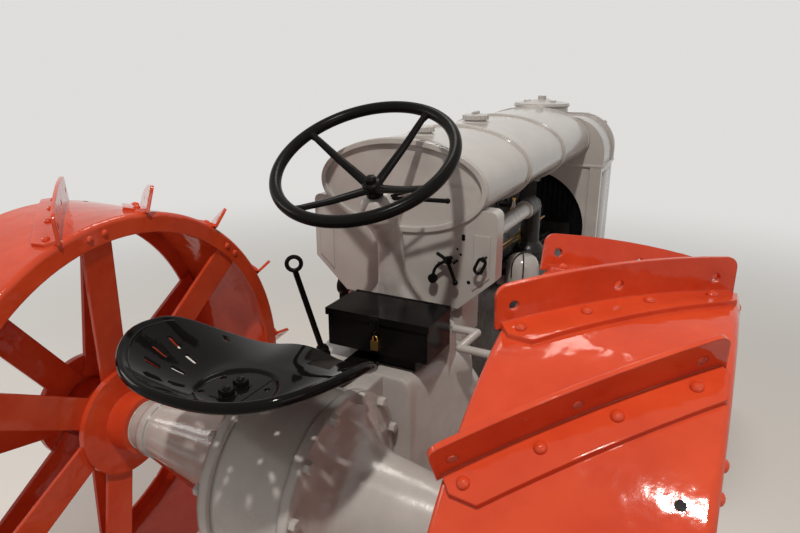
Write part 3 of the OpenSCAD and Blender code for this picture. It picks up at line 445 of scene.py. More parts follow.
# Front wheels: spokes run from both ends of the hub, by turns, to two circles nearer the band's middle
TIP_STEP, FOOT_STEP, SPOKE_RUN = 25, 45, 300
TIP_RIVET, TIP_DROP, TIP_SEAT = (20, 5), 9, ((0, -2), (15, -2), (14, 5), (9, 9), (0, 9))
FOOT_R, FOOT_SEAT = 47, ((0, -4), (17, -4), (15, 7), (9, 12), (0, 12))
FRONT_CAP_Y, FRONT_CAP = 102, ((0, 0), (30, 0), (29, 8), (18, 14), (0, 15))
FRONT_BOLTS_Y, FRONT_BOLTS_R = 75, 27


def front_wheel_trim(side, hand):
    """Both ends of the round spokes, the hub cap and its bolts."""
    mid = side * FRONT_MID
    trim = Solid()
    for i in range(FRONT_SPOKES):
        a = math.radians(i * 360 / FRONT_SPOKES)
        ray = Vector((math.cos(a), 0, -math.sin(a)))
        way = 1 if i % 2 else -1
        tip = Vector((0, mid + way * TIP_STEP, 0))
        foot = Vector((0, mid + way * FOOT_STEP, 0))
        along = ray * SPOKE_RUN + tip - foot
        trim.dome(at_front(*(ray * FRONT_R + tip)), ray, *TIP_RIVET)
        trim.lathe(at_front(*(ray * FOOT_R + foot)), along, FOOT_SEAT, 20)
        trim.lathe(at_front(*(ray * (FRONT_R - TIP_DROP) + tip)), -along, TIP_SEAT, 20)
    trim.lathe(at_front(0, mid + side * FRONT_CAP_Y, 0), (0, side, 0), FRONT_CAP, 36)
    for x, z in circle_of(4, FRONT_BOLTS_R, 45):
        trim.hex_bolt(at_front(x, mid + side * FRONT_BOLTS_Y, z), (0, side, 0), 12, 8)
    trim.done("front_trim_" + hand, "front_wheel_" + hand, "red_paint", red)


for side, hand in SIDES:
    front_wheel_trim(side, hand)

# Rear axle, clutch housing and drawbar: faces, heights and the radii of the bolt circles
FLANGE_Y, FLANGE_R = 108, 203
COLLAR_Y, COLLAR_R = 474, 60
CLUTCH_FACES, CLUTCH_Z, CLUTCH_R = (480, 576), -110, 204
DRAWBAR_X, DRAWBAR_Z, DRAWBAR_R = -222, -190, 98


def bolted_cases():
    bolts = Solid()
    for side in (1, -1):
        for x, z in circle_of(12, FLANGE_R, 13.5):
            bolts.hex_bolt(at_rear(x, side * FLANGE_Y, z), (0, side, 0), 22, 15, turn=0.3)
        bolts.ring(at_rear(0, side * COLLAR_Y, 0), LEFT, COLLAR_R, 5)
    # Plugs on the housing: filler on top, drain below
    bolts.hex_bolt(at_rear(-60, 40, 196), (-0.28, 0, 0.96), 36, 20)
    bolts.hex_bolt(at_rear(0, 0, -282), DOWN, 30, 14)
    # Clutch housing's rear flange, and the one that meets the engine
    for y, z in circle_of(14, CLUTCH_R, 13):
        for x in CLUTCH_FACES:
            bolts.hex_bolt(at_rear(x, y, z + CLUTCH_Z), BACK, 16, 11)
    # Drawbar's casting
    for y, z in circle_of(8, DRAWBAR_R, 22.5):
        bolts.hex_bolt(at_rear(DRAWBAR_X, y, z + DRAWBAR_Z), BACK, 18, 13)
    bolts.done("case_bolts", "root", "grey_paint", grey)


bolted_cases()

# Sections of the gearbox from back to front: x, half width and the bottom's height
GEARBOX = ((215.4, 151, -252), (220, 153, -254), (260, 157, -256), (310, 164, -260), (360, 174, -268),
           (410, 185, -280), (450, 196, -292), (479, 205, -306))
# Right half of a section from its top middle down: share of the half width, then the height
GEARBOX_UPPER = ((0.0, 166.5), (0.40, 166.5), (0.74, 166.5), (0.86, 164), (0.94, 150), (0.985, 122),
                 (1.0, 85), (1.01, 30), (1.01, -60), (1.0, -150))
# The same below, to the bottom middle: share of the half width, then the share of the bottom's height
GEARBOX_LOWER = ((0.92, 0.9), (0.65, 0.99), (0.0, 1.0))
GEARBOX_MID_Z = -40


def gearbox_skin():
    """The cast gearbox with its rounded shoulders, which widens from the axle to the clutch housing."""
    case = Solid()
    rows = []
    for x, half, low in GEARBOX:
        right = [Vector((0, -share * half, z)) for share, z in GEARBOX_UPPER]
        right += [Vector((0, -share * half, depth * low)) for share, depth in GEARBOX_LOWER]
        half_loop = smooth_path(right, 4)
        loop = half_loop + [Vector((0, -v.y, v.z)) for v in half_loop[-2:0:-1]]
        rows.append(case.row([at_rear(x, v.y, v.z) for v in loop]))
    case.skin(rows)
    case.cap(rows[0], at_rear(GEARBOX[0][0], 0, GEARBOX_MID_Z))
    case.done("gearbox_casting", "root", "grey_paint", casting, smooth=60)


gearbox_skin()

# Engine: the head's top and bolts, then the spark plugs with their nuts and insulators
HEAD_TOP, HEAD_BOLTS_X, HEAD_BOLTS_Y = 330, range(690, 1481, 130), (-88, 88)
PLUGS_X, PLUG_Y = (740, 930, 1120, 1310), -40
PLUG_BODY = ((0, 0), (13, 0), (13, 12), (8, 13), (8, 16), (0, 16))
PLUG_NUT_Z, PLUG_NUT = 366, ((0, 0), (4, 0), (4, 8), (6, 8), (6, 13), (3, 15), (0, 15))
INSULATOR_Z = 344
INSULATOR = ((0, 0), (8, 0), (9, 3), (7, 6), (8, 9), (6, 12), (6.5, 15), (5, 23), (0, 23))
# Manifold, mixing chamber, air pipe, water outlet, side cover and the belt's pulleys as (z, radius)
PORTS_X, MANIFOLD_Y, MANIFOLD_Z = (1010, 1130, 1250, 1370), -180.0, 175.0
MIXER_X, MIXER_Y, MIXER_RIBS_Z = 1020, -186, (245, 262, 279)
AIR_BAND_X, AIR_PIPE_Z, AIR_BAND = 944, 424, ((29, 0), (30.5, 1), (30.5, 17), (29, 18))
OUTLET_X, OUTLET_Z, OUTLET_BOLTS_Z = 1430, 336, 341
COVER_X, COVER_Y, COVER_Z, COVER_BOLTS_X, COVER_BOLTS_Y = 1150, -131, 60, (965, 1335), -135
PULLEY_X, PULLEYS = 1532, ((200, 55), (-60, 80))
# Pan: its bolts, the ribs along its sides and the drain plug
PAN_BOLTS_X, PAN_BOLTS_Y, PAN_BOLTS_Z = range(640, 1481, 70), 140, -118
PAN_RIB_AT, PAN_RIB, PAN_PLUG_AT = (1050, 124, -175), (820, 7, 8), (900, 0, -245)
# Routes: fuel pipe from the strainer to the mixing chamber, pipe along the block and two control rods
FUEL_PIPE = ((890, -160, 190), (930, -158, 182), (965, -200, 215), (1000, -205, 262))
BLOCK_PIPE = ((1020, -150, 300), (1080, -142, 330), (1180, -142, 250), (1300, -140, 200))
CONTROL_RODS = (((600, -168, 352), (1330, -150, 318)), ((600, -150, 330), (1040, -140, 300)))
# Spark wires: their start, and where they end, a step apart, at a box
WIRE_Z, WIRES_END_X, WIRES_END_Y, WIRES_STEP = 380, 620, 66, 10
WIRE_BOX_AT, WIRE_BOX = (622, 50, 372), (30, 120, 70)


def engine_trim():
    """Bolts, clamps, ribs and pulleys on the dark castings."""
    dark = Solid()
    for x in HEAD_BOLTS_X:
        for y in HEAD_BOLTS_Y:
            dark.hex_bolt(at_rear(x, y, HEAD_TOP), UP, 19, 15, turn=x, stud=6)
    # Manifold clamps and studs
    for x in PORTS_X:
        dark.block(at_rear(x, MANIFOLD_Y + 42, MANIFOLD_Z), (86, 12, 92), 5)
        dark.hex_bolt(at_rear(x - 50, MANIFOLD_Y + 46, MANIFOLD_Z + 6), RIGHT, 17, 13, stud=8)
    # Rubber band that joins the air pipe to its elbow
    dark.lathe(at_rear(AIR_BAND_X, MIXER_Y, AIR_PIPE_Z), AHEAD, AIR_BAND, 40)
    # Ribs of the mixing chamber
    for z in MIXER_RIBS_Z:
        dark.ring(at_rear(MIXER_X, MIXER_Y, z), UP, 50, 8)
    # Water outlet's flange
    dark.block(at_rear(OUTLET_X, 0, OUTLET_Z), (96, 84, 12), 4)
    for y in (-32, 32):
        dark.hex_bolt(at_rear(OUTLET_X, y, OUTLET_BOLTS_Z), UP, 15, 11)
    # Side cover and its two bolts
    dark.block(at_rear(COVER_X, COVER_Y, COVER_Z), (420, 10, 110), 5)
    for x in COVER_BOLTS_X:
        dark.hex_bolt(at_rear(x, COVER_BOLTS_Y, COVER_Z), RIGHT, 18, 12, stud=8)
    # Fan belt's pulleys
    for z, r in PULLEYS:
        groove = [(0, 0), (r, 0), (r - 6, 6), (r - 6, 24), (r, 30), (0, 30)]
        dark.lathe(at_rear(PULLEY_X, 0, z), AHEAD, groove, 40)
    dark.done("engine_trim", "root", "black_iron", iron)


def pan_trim():
    pan = Solid()
    for x in PAN_BOLTS_X:
        for side in (1, -1):
            pan.hex_bolt(at_rear(x, side * PAN_BOLTS_Y, PAN_BOLTS_Z), DOWN, 14, 10)
    x, y, z = PAN_RIB_AT
    for side in (1, -1):
        pan.block(at_rear(x, side * y, z), PAN_RIB, 3)
    pan.hex_bolt(at_rear(*PAN_PLUG_AT), DOWN, 30, 14)
    pan.done("pan_trim", "root", "grey_paint", grey)


def engine_pipes():
    """The brass bodies and nuts of the spark plugs, the pipes and the control rods."""
    bright = Solid()
    for x in PLUGS_X:
        bright.lathe(at_rear(x, PLUG_Y, HEAD_TOP), UP, PLUG_BODY, 6)
        bright.lathe(at_rear(x, PLUG_Y, PLUG_NUT_Z), UP, PLUG_NUT, 12)
    bright.tube(bend(*FUEL_PIPE), 8)
    for start, end in CONTROL_RODS:
        bright.rod(at_rear(*start), at_rear(*end), 7)
    bright.tube(bend(*BLOCK_PIPE), 9)
    bright.done("engine_pipes", "root", "brass", brass)


def spark_wires():
    wires = Solid()
    for i, x in enumerate(PLUGS_X):
        start, end = (x, PLUG_Y, WIRE_Z), (WIRES_END_X, WIRES_END_Y - i * WIRES_STEP, WIRE_Z)
        wires.tube(bend(start, (x - 10, -30, 404), (x - 60, 30, 400), end), 7)
    wires.block(at_rear(*WIRE_BOX_AT), WIRE_BOX, 4)
    wires.done("spark_wires", "root", "black_iron", iron)


def plug_insulators():
    white = Solid()
    for x in PLUGS_X:
        white.lathe(at_rear(x, PLUG_Y, INSULATOR_Z), UP, INSULATOR, 16)
    white.done("plug_insulators", "root", "grey_paint", grey)


engine_trim()
pan_trim()
engine_pipes()
spark_wires()
plug_insulators()

# Radiator: its back and front, bolts as (y, z), side panels, flange, cap, and the core's fins and tubes
RAD_BACK, RAD_FRONT = 1640.0, 1870.0
RAD_MID = (RAD_BACK + RAD_FRONT) / 2
TOP_BOLTS = ((-276, 485), (-276, 545), (-240, 612), (-170, 640), (-60, 640), (60, 640), (170, 640),
             (240, 612), (276, 545), (276, 485))
COLUMN_BOLTS_Y, COLUMN_BOLTS_Z = 262, (430, 380, 280, 180, 80, 0, -90, -130)
PANEL_Y, PANEL_Z, PANEL = 283, 200, (150, 7, 470)
RAD_FLANGE_Z, RAD_FLANGE = 463, (234, 584, 12)
CAP_EDGE_R, CAP_EDGE_Z, CAP_GRIPS_R, CAP_GRIPS_Z = 110, 684, 60, 699
FINS, FIN_T, TUBES, TUBE_ROWS, TUBE_D = 56, 1.4, 22, (-70, -25, 25, 70), 13


def radiator_trim():
    trim = Solid()
    # Bolts over the top tank and down the columns
    for y, z in TOP_BOLTS:
        trim.hex_bolt(at_rear(RAD_FRONT, y, z), AHEAD, 15, 10)
    for side in (1, -1):
        for z in COLUMN_BOLTS_Z:
            trim.hex_bolt(at_rear(RAD_FRONT, side * COLUMN_BOLTS_Y, z), AHEAD, 15, 10)
        # Side columns' raised middles
        trim.block(at_rear(RAD_MID, side * PANEL_Y, PANEL_Z), PANEL, 3)
    # Flange under the top tank
    trim.block(at_rear(RAD_MID, 0, RAD_FLANGE_Z), RAD_FLANGE, 3)
    # Cap: its rolled edge and three grips
    trim.ring(at_rear(RAD_MID, 0, CAP_EDGE_Z), UP, CAP_EDGE_R, 8, 64)
    for y, x in circle_of(3, CAP_GRIPS_R, 90):
        trim.block(at_rear(RAD_MID + x, y, CAP_GRIPS_Z), (26, 26, 12), 4)
    trim.done("radiator_trim", "root", "grey_paint", sheet)


def radiator_core():
    """Level fins on upright tubes, a little inside the frame of the solid."""
    core = Solid()
    low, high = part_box("radiator_core")
    middle = [(low[i] + high[i]) / 2 for i in range(3)]
    depth, width = (high[0] - low[0]) / MM, (high[1] - low[1]) / MM
    for i in range(FINS):
        z = low[2] + (i + 0.5) * (high[2] - low[2]) / FINS
        core.block((middle[0], middle[1], z), (depth - 4, width, FIN_T), 0)
    for i in range(TUBES):
        y = low[1] + (i + 0.5) * (high[1] - low[1]) / TUBES
        for x in TUBE_ROWS:
            foot, top = ((middle[0] + x * MM, y, end[2]) for end in (low, high))
            core.rod(foot, top, TUBE_D, sides=8)
    core = core.done("radiator_fins", "root", "core_fins", fins_black)
    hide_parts("radiator_core")


radiator_trim()
radiator_core()

# Tank: its middle height, width and height, then its beads as x, step outside the oval and thickness
TANK_Z, TANK_W, TANK_H = 567.0, 458.0, 228.0
TANK_BEADS = ((460, 1, 7), (1626, 1, 7), (470, 3, 5), (829, 3, 8), (1229, 3, 8))
# Cock under the tank: top, bottom, and its branch to the right
COCK_X, COCK_TOP, COCK_LOW, BRANCH_Z, BRANCH_Y = 760, 456, 432, 440, -45
# Filler caps: x and radius of each, their lower edge, the knurls and the grip on the large one
CAPS, CAPS_Z = ((985, 39), (601, 26)), 677
KNURLS, KNURL_D, KNURL_LOW, KNURL_HIGH = 18, 6, 11, 24
GRIP_AT, GRIP = (985, 0, 708), (54, 9, 10)


def oval(grow):
    """(y, z) places round the tank's end from its middle, a step outside it."""
    return [((TANK_W / 2 + grow) * math.cos(t), (TANK_H / 2 + grow) * math.sin(t)) for t in around(96)]


def tank_trim():
    trim = Solid()
    # Beads on both ends' rims, just ahead of the rear one and on the two seams
    for x, grow, d in TANK_BEADS:
        trim.tube([at_rear(x, y, z + TANK_Z) for y, z in oval(grow)], d, sides=8, closed=True)
    # Cock under the tank
    trim.rod(at_rear(COCK_X, 0, COCK_TOP), at_rear(COCK_X, 0, COCK_LOW), 22)
    trim.rod(at_rear(COCK_X, 0, BRANCH_Z), at_rear(COCK_X, BRANCH_Y, BRANCH_Z), 12)
    trim.done("tank_trim", "root", "grey_paint", sheet)


def filler_caps():
    """Caps on their necks, with knurled edges."""
    caps = Solid()
    for x, r in CAPS:
        shape = [(0, 0), (r * 1.2, 0), (r * 1.1, 5), (r * 0.86, 8), (r * 0.86, 10), (r, KNURL_LOW),
                 (r, KNURL_HIGH), (r * 0.8, 27), (0, 28)]
        caps.lathe(at_rear(x, 0, CAPS_Z), UP, shape, 40)
        for cx, cy in circle_of(KNURLS, r):
            low, high = (at_rear(x + cx, cy, CAPS_Z + h) for h in (KNURL_LOW, KNURL_HIGH))
            caps.rod(low, high, KNURL_D, sides=8)
    caps.block(at_rear(*GRIP_AT), GRIP, 3)
    caps = caps.done("tank_caps", "root", "grey_paint", grey)
    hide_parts("filler_caps")


tank_trim()
filler_caps()

# Fuel strainer: its foot's middle, the can's outline, where its pipe ends and the wire over its lid
STRAINER = (890.0, -205.0, 165.0)
STRAINER_CAN = ((0, 0), (38, 0), (50, 12), (51, 60), (50, 98), (47, 112), (41, 123), (32, 130), (20, 134),
                (0, 136))
STRAINER_PIPE_Y, STRAINER_PIPE_Z = -128, 40
STRAINER_WIRE = ((-53, 70), (-53, 104), (-44, 124), (-26, 135), (0, 139), (26, 135), (44, 124), (53, 104),
                 (53, 70))
WIRE_TURNS = (-0.35, 0.35)


def strainer():
    """The fuel strainer's can with its broad rounded shoulders, under a wire that holds its lid."""
    x, y, z = STRAINER
    can = Solid()
    can.lathe(at_rear(x, y, z), UP, STRAINER_CAN, 56)
    pipe_z = z + STRAINER_PIPE_Z
    can.rod(at_rear(x, y, pipe_z), at_rear(x, STRAINER_PIPE_Y, pipe_z), 30, sides=28)
    can = can.done("strainer_can", "root", "grey_paint", sheet, smooth=50)
    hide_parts("fuel_strainer")
    wire = Solid()
    for turn in WIRE_TURNS:
        c, s = math.cos(turn), math.sin(turn)
        wire.tube(bend(*((x + c * a, y + s * a, z + h) for a, h in STRAINER_WIRE)), 4.5)
    wire.done("strainer_wire", "root", "black_iron", iron)


strainer()

# Dash: its rear face, one side's raised field as (y, z), the ledge below, the black discs painted as the
# shade inside holes and slots as y, z and width
DASH_X = 462.0
DASH_FIELD = ((203, 463), (246, 463), (246, 356), (203, 318))
LEDGE_STEP, LEDGE_Z, LEDGE = 24, 256, (40, 300, 10)
DASH_HOLE_SHADES = ((-175, 456, 10), (-175, 449, 10), (-160, 421, 6), (-169, 408, 7), (-192, 338, 10))
PIN_Y, PIN_Z, PIN_LENGTH, PIN_D = -160, 391, 22, 7


def dash_trim():
    trim = Solid()
    # Raised field on each side of the dash, under the flange's shoulder
    for side in (1, -1):
        field = [(side * y, z) for y, z in DASH_FIELD]
        trim.slab(field, lambda y, z: at_rear(DASH_X + 0.5, y, z), (-3, 0, 0))
    trim.block(at_rear(DASH_X + LEDGE_STEP, 0, LEDGE_Z), LEDGE, 3)
    trim.done("dash_trim", "root", "grey_paint", sheet)
    # Black discs painted as the shade inside holes and slots, and a short pin
    dark = Solid()
    for y, z, d in DASH_HOLE_SHADES:
        dark.dome(at_rear(DASH_X - 0.2, y, z), BACK, d, 1.2)
    dark.rod(at_rear(DASH_X - 1, PIN_Y, PIN_Z), at_rear(DASH_X - PIN_LENGTH, PIN_Y, PIN_Z), PIN_D)
    dark.done("dash_hole_shades", "root", "black_enamel", enamel)


dash_trim()

# Seat: its middle, height, length, width and sheet, then its flat share, curve and squareness
SEAT_X, SEAT_Z, SEAT_L, SEAT_W, SEAT_T = -142.0, 305.0, 374.0, 476.0, 5.0
SEAT_FLAT, SEAT_POWER, SEAT_SQUARE = 0.38, 1.6, 2.4
# Where its rings shrink to, the rolled edge's radius, and how many rings and steps it has
SEAT_MID, SEAT_BEAD = -160.0, 10.3
SEAT_RINGS, SEAT_STEPS = 66, 144
# Recess: its middle, radius, depth and half its slope's width
RECESS_X, RECESS_R, RECESS_DEPTH, RECESS_SLOPE = -190.0, 74.0, 6.0, 4
SEAT_FLOOR = SEAT_Z + SEAT_T - RECESS_DEPTH
# Bolts in the recess: a washer, a nut and the rounded end of the thread
SEAT_BOLTS_X, SEAT_BOLTS_Y = (-210, -171), 5
SEAT_WASHER = ((0, -1), (19, -1), (19, 2.5), (0, 2.5))
SEAT_NUT = ((0, 2), (14.5, 2), (14.5, 11), (12.5, 13.5), (0, 14))
THREAD_LIFT, THREAD_END = 13, (17, 6)
# The rise at the middle of the seat's front edge: its height, and its spread in degrees
FRONT_RISE, FRONT_SPREAD = 18, 13
# Slots on both sides, then at the back: share of the way out, angles from the front, length and width
SIDE_SLOTS = ((0.775, (91, 108, 126, 144, 162), 34, 9), (0.59, (92, 117, 143), 30, 9),
              (0.85, (46,), 26, 8))
BACK_SLOTS = ((0.775, 180, 34, 9), (0.59, 180, 24, 9))
# Half the depth that the slots are cut through, and the step for finding their directions
CUT, SLOPE_STEP = 20, 0.03
RECESS_HOLES, RECESS_HOLES_R, RECESS_HOLE_D = 6, 59, 11


def seat_rim(a):
    """The pan's outline, a little narrower at its corners than the solid's, and its height there."""
    x, y = (math.copysign(abs(v) ** (2 / SEAT_SQUARE), v) for v in (math.cos(a), math.sin(a)))
    turn = math.degrees(math.atan2(math.sin(a), math.cos(a)))
    # Waves round the pan, fitted to the photo
    edge = (47 - 44 * math.cos(a) - 28 * math.cos(2 * a) + 3 * math.cos(4 * a)
            + FRONT_RISE * math.exp(-(turn / FRONT_SPREAD) ** 2))
    return (SEAT_X + SEAT_L / 2 * x - 12 - 8 * math.cos(a) - 7 * math.cos(2 * a) + 5 * math.cos(3 * a),
            SEAT_W / 2 * y - 8 * math.sin(a) + 2 * math.sin(2 * a), edge)


def seat_place(u, out, up, a):
    """A point of the pan: share of the way out, step beyond, height over the sheet, angle from the front."""
    x, y, edge = seat_rim(a)
    ahead, behind = seat_rim(a + 0.01), seat_rim(a - 0.01)
    n = Vector((ahead[1] - behind[1], behind[0] - ahead[0])).normalized()
    x, y = SEAT_MID + (x - SEAT_MID) * u, y * u
    rise = 0 if u < SEAT_FLAT else edge * ((u - SEAT_FLAT) / (1 - SEAT_FLAT)) ** SEAT_POWER
    inside = (RECESS_R + RECESS_SLOPE - math.hypot(x - RECESS_X, y)) / (2 * RECESS_SLOPE)
    inside = min(1.0, max(0.0, inside))
    sink = RECESS_DEPTH * inside * inside * (3 - 2 * inside)
    return at_rear(x + n.x * out, y + n.y * out, SEAT_Z + rise + SEAT_T + up - sink)


def slot_cutter():
    """Slots in two rows round the back and sides, one in each thigh, and round holes in the recess."""
    cutter = Solid()
    slots = [(u, side * angle, length, width) for side in (1, -1)
             for u, angles, length, width in SIDE_SLOTS for angle in angles]
    for u, angle, length, width in slots + list(BACK_SLOTS):
        a = math.radians(angle)
        p = seat_place(u, 0, 0, a)
        out = (seat_place(u + SLOPE_STEP, 0, 0, a) - seat_place(u - SLOPE_STEP, 0, 0, a)).normalized()
        along = (seat_place(u, 0, 0, a + SLOPE_STEP) - seat_place(u, 0, 0, a - SLOPE_STEP)).normalized()
        up = out.cross(along).normalized()
        if up.z < 0:
            up = -up
        half = (length - width) / 2
        outline = [(half + width / 2 * math.cos(t), width / 2 * math.sin(t)) for t in arc(-90, 90, 18)]
        outline += [(-x, -y) for x, y in outline]
        cutter.slab(outline, lambda x, y: p + (out * x + along * y) * MM - up * (CUT * MM),
                    up * (2 * CUT))
    for x, y in circle_of(RECESS_HOLES, RECESS_HOLES_R):
        x, y = RECESS_X + x, SEAT_BOLTS_Y + y
        cutter.rod(at_rear(x, y, SEAT_Z - CUT), at_rear(x, y, SEAT_Z + CUT), RECESS_HOLE_D)
    return cutter.done("seat_slots", "root", "black_enamel", enamel)


def seat_pan():
    # Rows of the pan's section: out along the top, round the rolled edge and back below
    profile = [(i / SEAT_RINGS, 0, 0) for i in range(1, SEAT_RINGS + 1)]
    profile += [(1, SEAT_BEAD * math.sin(t), SEAT_BEAD * (math.cos(t) - 1)) for t in arc(15, 285, 15)]
    profile += [(i / SEAT_RINGS, 0, -SEAT_T) for i in range(SEAT_RINGS - 2, 0, -1)]
    pan = Solid()
    rows = [pan.row([seat_place(*p, t) for t in around(SEAT_STEPS)]) for p in profile]
    pan.skin(rows)
    pan.cap(rows[0], seat_place(0, 0, 0, 0))
    pan.cap(rows[-1], seat_place(0, 0, -SEAT_T, 0))
    pan = pan.done("seat_pan", "root", "black_enamel", enamel, smooth=50)
    cutter = slot_cutter()
    cut = pan.modifiers.new("slots", "BOOLEAN")
    cut.object = cutter
    cut.solver = "EXACT"
    cut.use_self = True
    finished = pan.evaluated_get(bpy.context.evaluated_depsgraph_get())
    mesh = bpy.data.meshes.new_from_object(finished)
    pan.modifiers.clear()
    pan.data = mesh
    bpy.data.objects.remove(cutter)
    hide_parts("seat")


def seat_bolts():
    bolts = Solid()
    for x in SEAT_BOLTS_X:
        top = at_rear(x, SEAT_BOLTS_Y, SEAT_FLOOR)
        bolts.lathe(top, UP, SEAT_WASHER, 32)
        bolts.lathe(top, UP, SEAT_NUT, 6, 0.4)
        bolts.dome(at_rear(x, SEAT_BOLTS_Y, SEAT_FLOOR + THREAD_LIFT), UP, *THREAD_END, 20)
    bolts.done("seat_bolts", "root", "black_enamel", enamel)


seat_pan()
seat_bolts()

# Steering wheel: its middle, the column's tilt in degrees, and the rim's radius and half thickness
COLUMN_X, COLUMN_Z, COLUMN_TILT = 282.0, 658.0, 29.3
COLUMN_LEAN = math.radians(COLUMN_TILT)
WHEEL_R, WHEEL_DISH, RIM_HALF = 209.0, 78.0, 14
SPOKE_TURNS = (23, 113, 203, 293)
# A spoke's middle line as radius and depth under the rim
SPOKE_LINE = ((14, WHEEL_DISH + 2), (60, 62), (120, 38), (WHEEL_R - 34, 12), (WHEEL_R - 14, 4),
              (WHEEL_R - 3, 0))
# Its half width and half depth, what they lose by the rim, and the round stretch that swells into the rim
SPOKE_WIDE, SPOKE_DEEP, WIDE_LOSS, DEEP_LOSS = 13.5, 9.0, 5.5, 2.0
SWELL_RUN, SWELL_FROM, SWELL_BY = 26, 7.5, 4.5
# The hub's boss, its nut and the shaft below: how far each starts above the hub's plane, and its outline
BOSS_LIFT, BOSS = 14, ((0, 0), (19, 0), (23, 4), (25, 12), (25, 20), (21, 26), (21, 38), (0, 38))
WHEEL_NUT_LIFT, WHEEL_NUT = 26, ((0, 0), (12, 0), (14, 2), (14, 13), (0, 13))
SHAFT = ((0, 0), (12, 0), (12, 80), (0, 80))


def on_column(x, y, z):
    """A point given along the steering column: z runs down its middle line from the rim's plane."""
    c, s = -math.cos(COLUMN_LEAN), math.sin(COLUMN_LEAN)
    return at_rear(COLUMN_X + x * c + z * s, y, COLUMN_Z - x * s + z * c)


def steering_wheel():
    down = on_column(0, 0, 1) - on_column(0, 0, 0)
    wheel = Solid()
    rim = [(WHEEL_R + RIM_HALF * math.cos(t), RIM_HALF * math.sin(t)) for t in around(24, True)]
    wheel.lathe(on_column(0, 0, 0), down, rim, 120)
    line = smooth_path([Vector((r, 0, h)) for r, h in SPOKE_LINE], 5)
    for turn in SPOKE_TURNS:
        c, s = math.cos(math.radians(turn)), math.sin(math.radians(turn))
        rows = []
        for place in line:
            r, h = place.x, place.z
            share = r / WHEEL_R
            wide, deep = SPOKE_WIDE - WIDE_LOSS * share, SPOKE_DEEP - DEEP_LOSS * share
            if r > WHEEL_R - SWELL_RUN:
                wide = deep = SWELL_FROM + SWELL_BY * (r - WHEEL_R + SWELL_RUN) / SWELL_RUN
            section = [(wide * math.cos(t), deep * math.sin(t)) for t in around(20)]
            rows.append(wheel.row([on_column(r * c - a * s, r * s + a * c, h + b) for a, b in section]))
        wheel.skin(rows)
    wheel.lathe(on_column(0, 0, WHEEL_DISH - BOSS_LIFT), down, BOSS, 40)
    wheel.lathe(on_column(0, 0, WHEEL_DISH - WHEEL_NUT_LIFT), down, WHEEL_NUT, 6)
    wheel.lathe(on_column(0, 0, WHEEL_DISH), down, SHAFT, 24)
    wheel = wheel.done("steering_wheel_turned", "steering_wheel", "black_enamel", satin, smooth=50)
    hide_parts("steering_wheel")


# Steering column: its round neck as distance below the hub's plane and radius
NECK = ((30, 30), (36, 34), (46, 42), (62, 48), (76, 51), (90, 48), (106, 41), (126, 36), (150, 34),
        (180, 34))
# Slices of its foot: middle x and z, tilt in degrees, half depth and half width
FOOT = ((416, 350, 22, 37, 36), (426, 322, 14, 42, 43), (436, 296, 7, 48, 57), (444, 272, 2, 54, 78),
        (450, 248, 0, 58, 106), (454, 222, 0, 60, 130), (456, 196, 0, 60, 143), (457, 168, 0, 60, 149))
# Flutes grow over a run below their top, and the foot ends just inside the dash's rear face
FLUTES, FLUTE_DEPTH, FLUTE_TOP, FLUTE_RUN = 8, 0.035, 430, 100
COLUMN_END_X = 463.0


def steering_column():
    column = Solid()
    slices = []
    for step, r in NECK:
        run = WHEEL_DISH + step
        x, z = COLUMN_X + run * math.sin(COLUMN_LEAN), COLUMN_Z - run * math.cos(COLUMN_LEAN)
        slices.append((x, z, COLUMN_TILT, r, r))
    slices += FOOT
    places = smooth_path([Vector(v[:3]) for v in slices], 4)
    sizes = smooth_path([Vector((v[3], v[4], 0)) for v in slices], 4)
    rows = []
    for (x, z, tilt), size in zip(places, sizes):
        lean = math.radians(tilt)
        flute = FLUTE_DEPTH * min(1.0, max(0.0, (FLUTE_TOP - z) / FLUTE_RUN))
        row = []
        for t in around(72):
            grow = 1 + flute * math.cos(FLUTES * t)
            a = size.x * math.cos(t) * grow
            row.append(at_rear(min(COLUMN_END_X, x - a * math.cos(lean)), size.y * math.sin(t) * grow,
                               z - a * math.sin(lean)))
        rows.append(column.row(row))
    column.skin(rows)
    column.cap(rows[0], at_rear(slices[0][0], 0, slices[0][1]))
    column = column.done("steering_column_cast", "root", "grey_paint", casting, smooth=60)
    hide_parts("steering_column")


steering_wheel()
steering_column()

# Toolbox: the lower right corner of its rear side, its hasp's place and its rows of rivets
TOOLBOX = (240, -182, 206)
HASP_Y, HASP_Z, HASP_RIVETS_Z = 132.5, 76, 90
BOX_RIVETS_Y, BOX_RIVETS_Z = (8, 257), (12, 40, 68)


def toolbox_trim():
    trim = Solid()
    x, y, z = TOOLBOX
    # Hasp with its two rivets, and an upright row of rivets near each end
    trim.block(at_rear(x - 6.5, y + HASP_Y, z + HASP_Z), (3, 24, 40), 1.2)
    for dy in (-7, 7):
        trim.dome(at_rear(x - 8, y + HASP_Y + dy, z + HASP_RIVETS_Z), BACK, 7, 2.5)
    for dy in BOX_RIVETS_Y:
        for dz in BOX_RIVETS_Z:
            trim.dome(at_rear(x, y + dy, z + dz), BACK, 7, 2.2)
    trim.done("toolbox_trim", "root", "black_enamel", enamel)


toolbox_trim()

# Gear lever: its ball's middle and radius, the rod's end, and the loop's middle, direction and radius
LEVER_FOOT, LEVER_END, BALL_R = (240, 104, 183), (113, 81, 432), 17
LOOP, LOOP_AXIS, LOOP_R, LOOP_WIRE = (109, 80, 449), (-0.8, -0.6, 0), 15.5, 9.5
LEVER_SEAT, LEVER_SEAT_DROP = ((0, 0), (20, 0), (20, 12), (16, 16), (0, 16)), 18


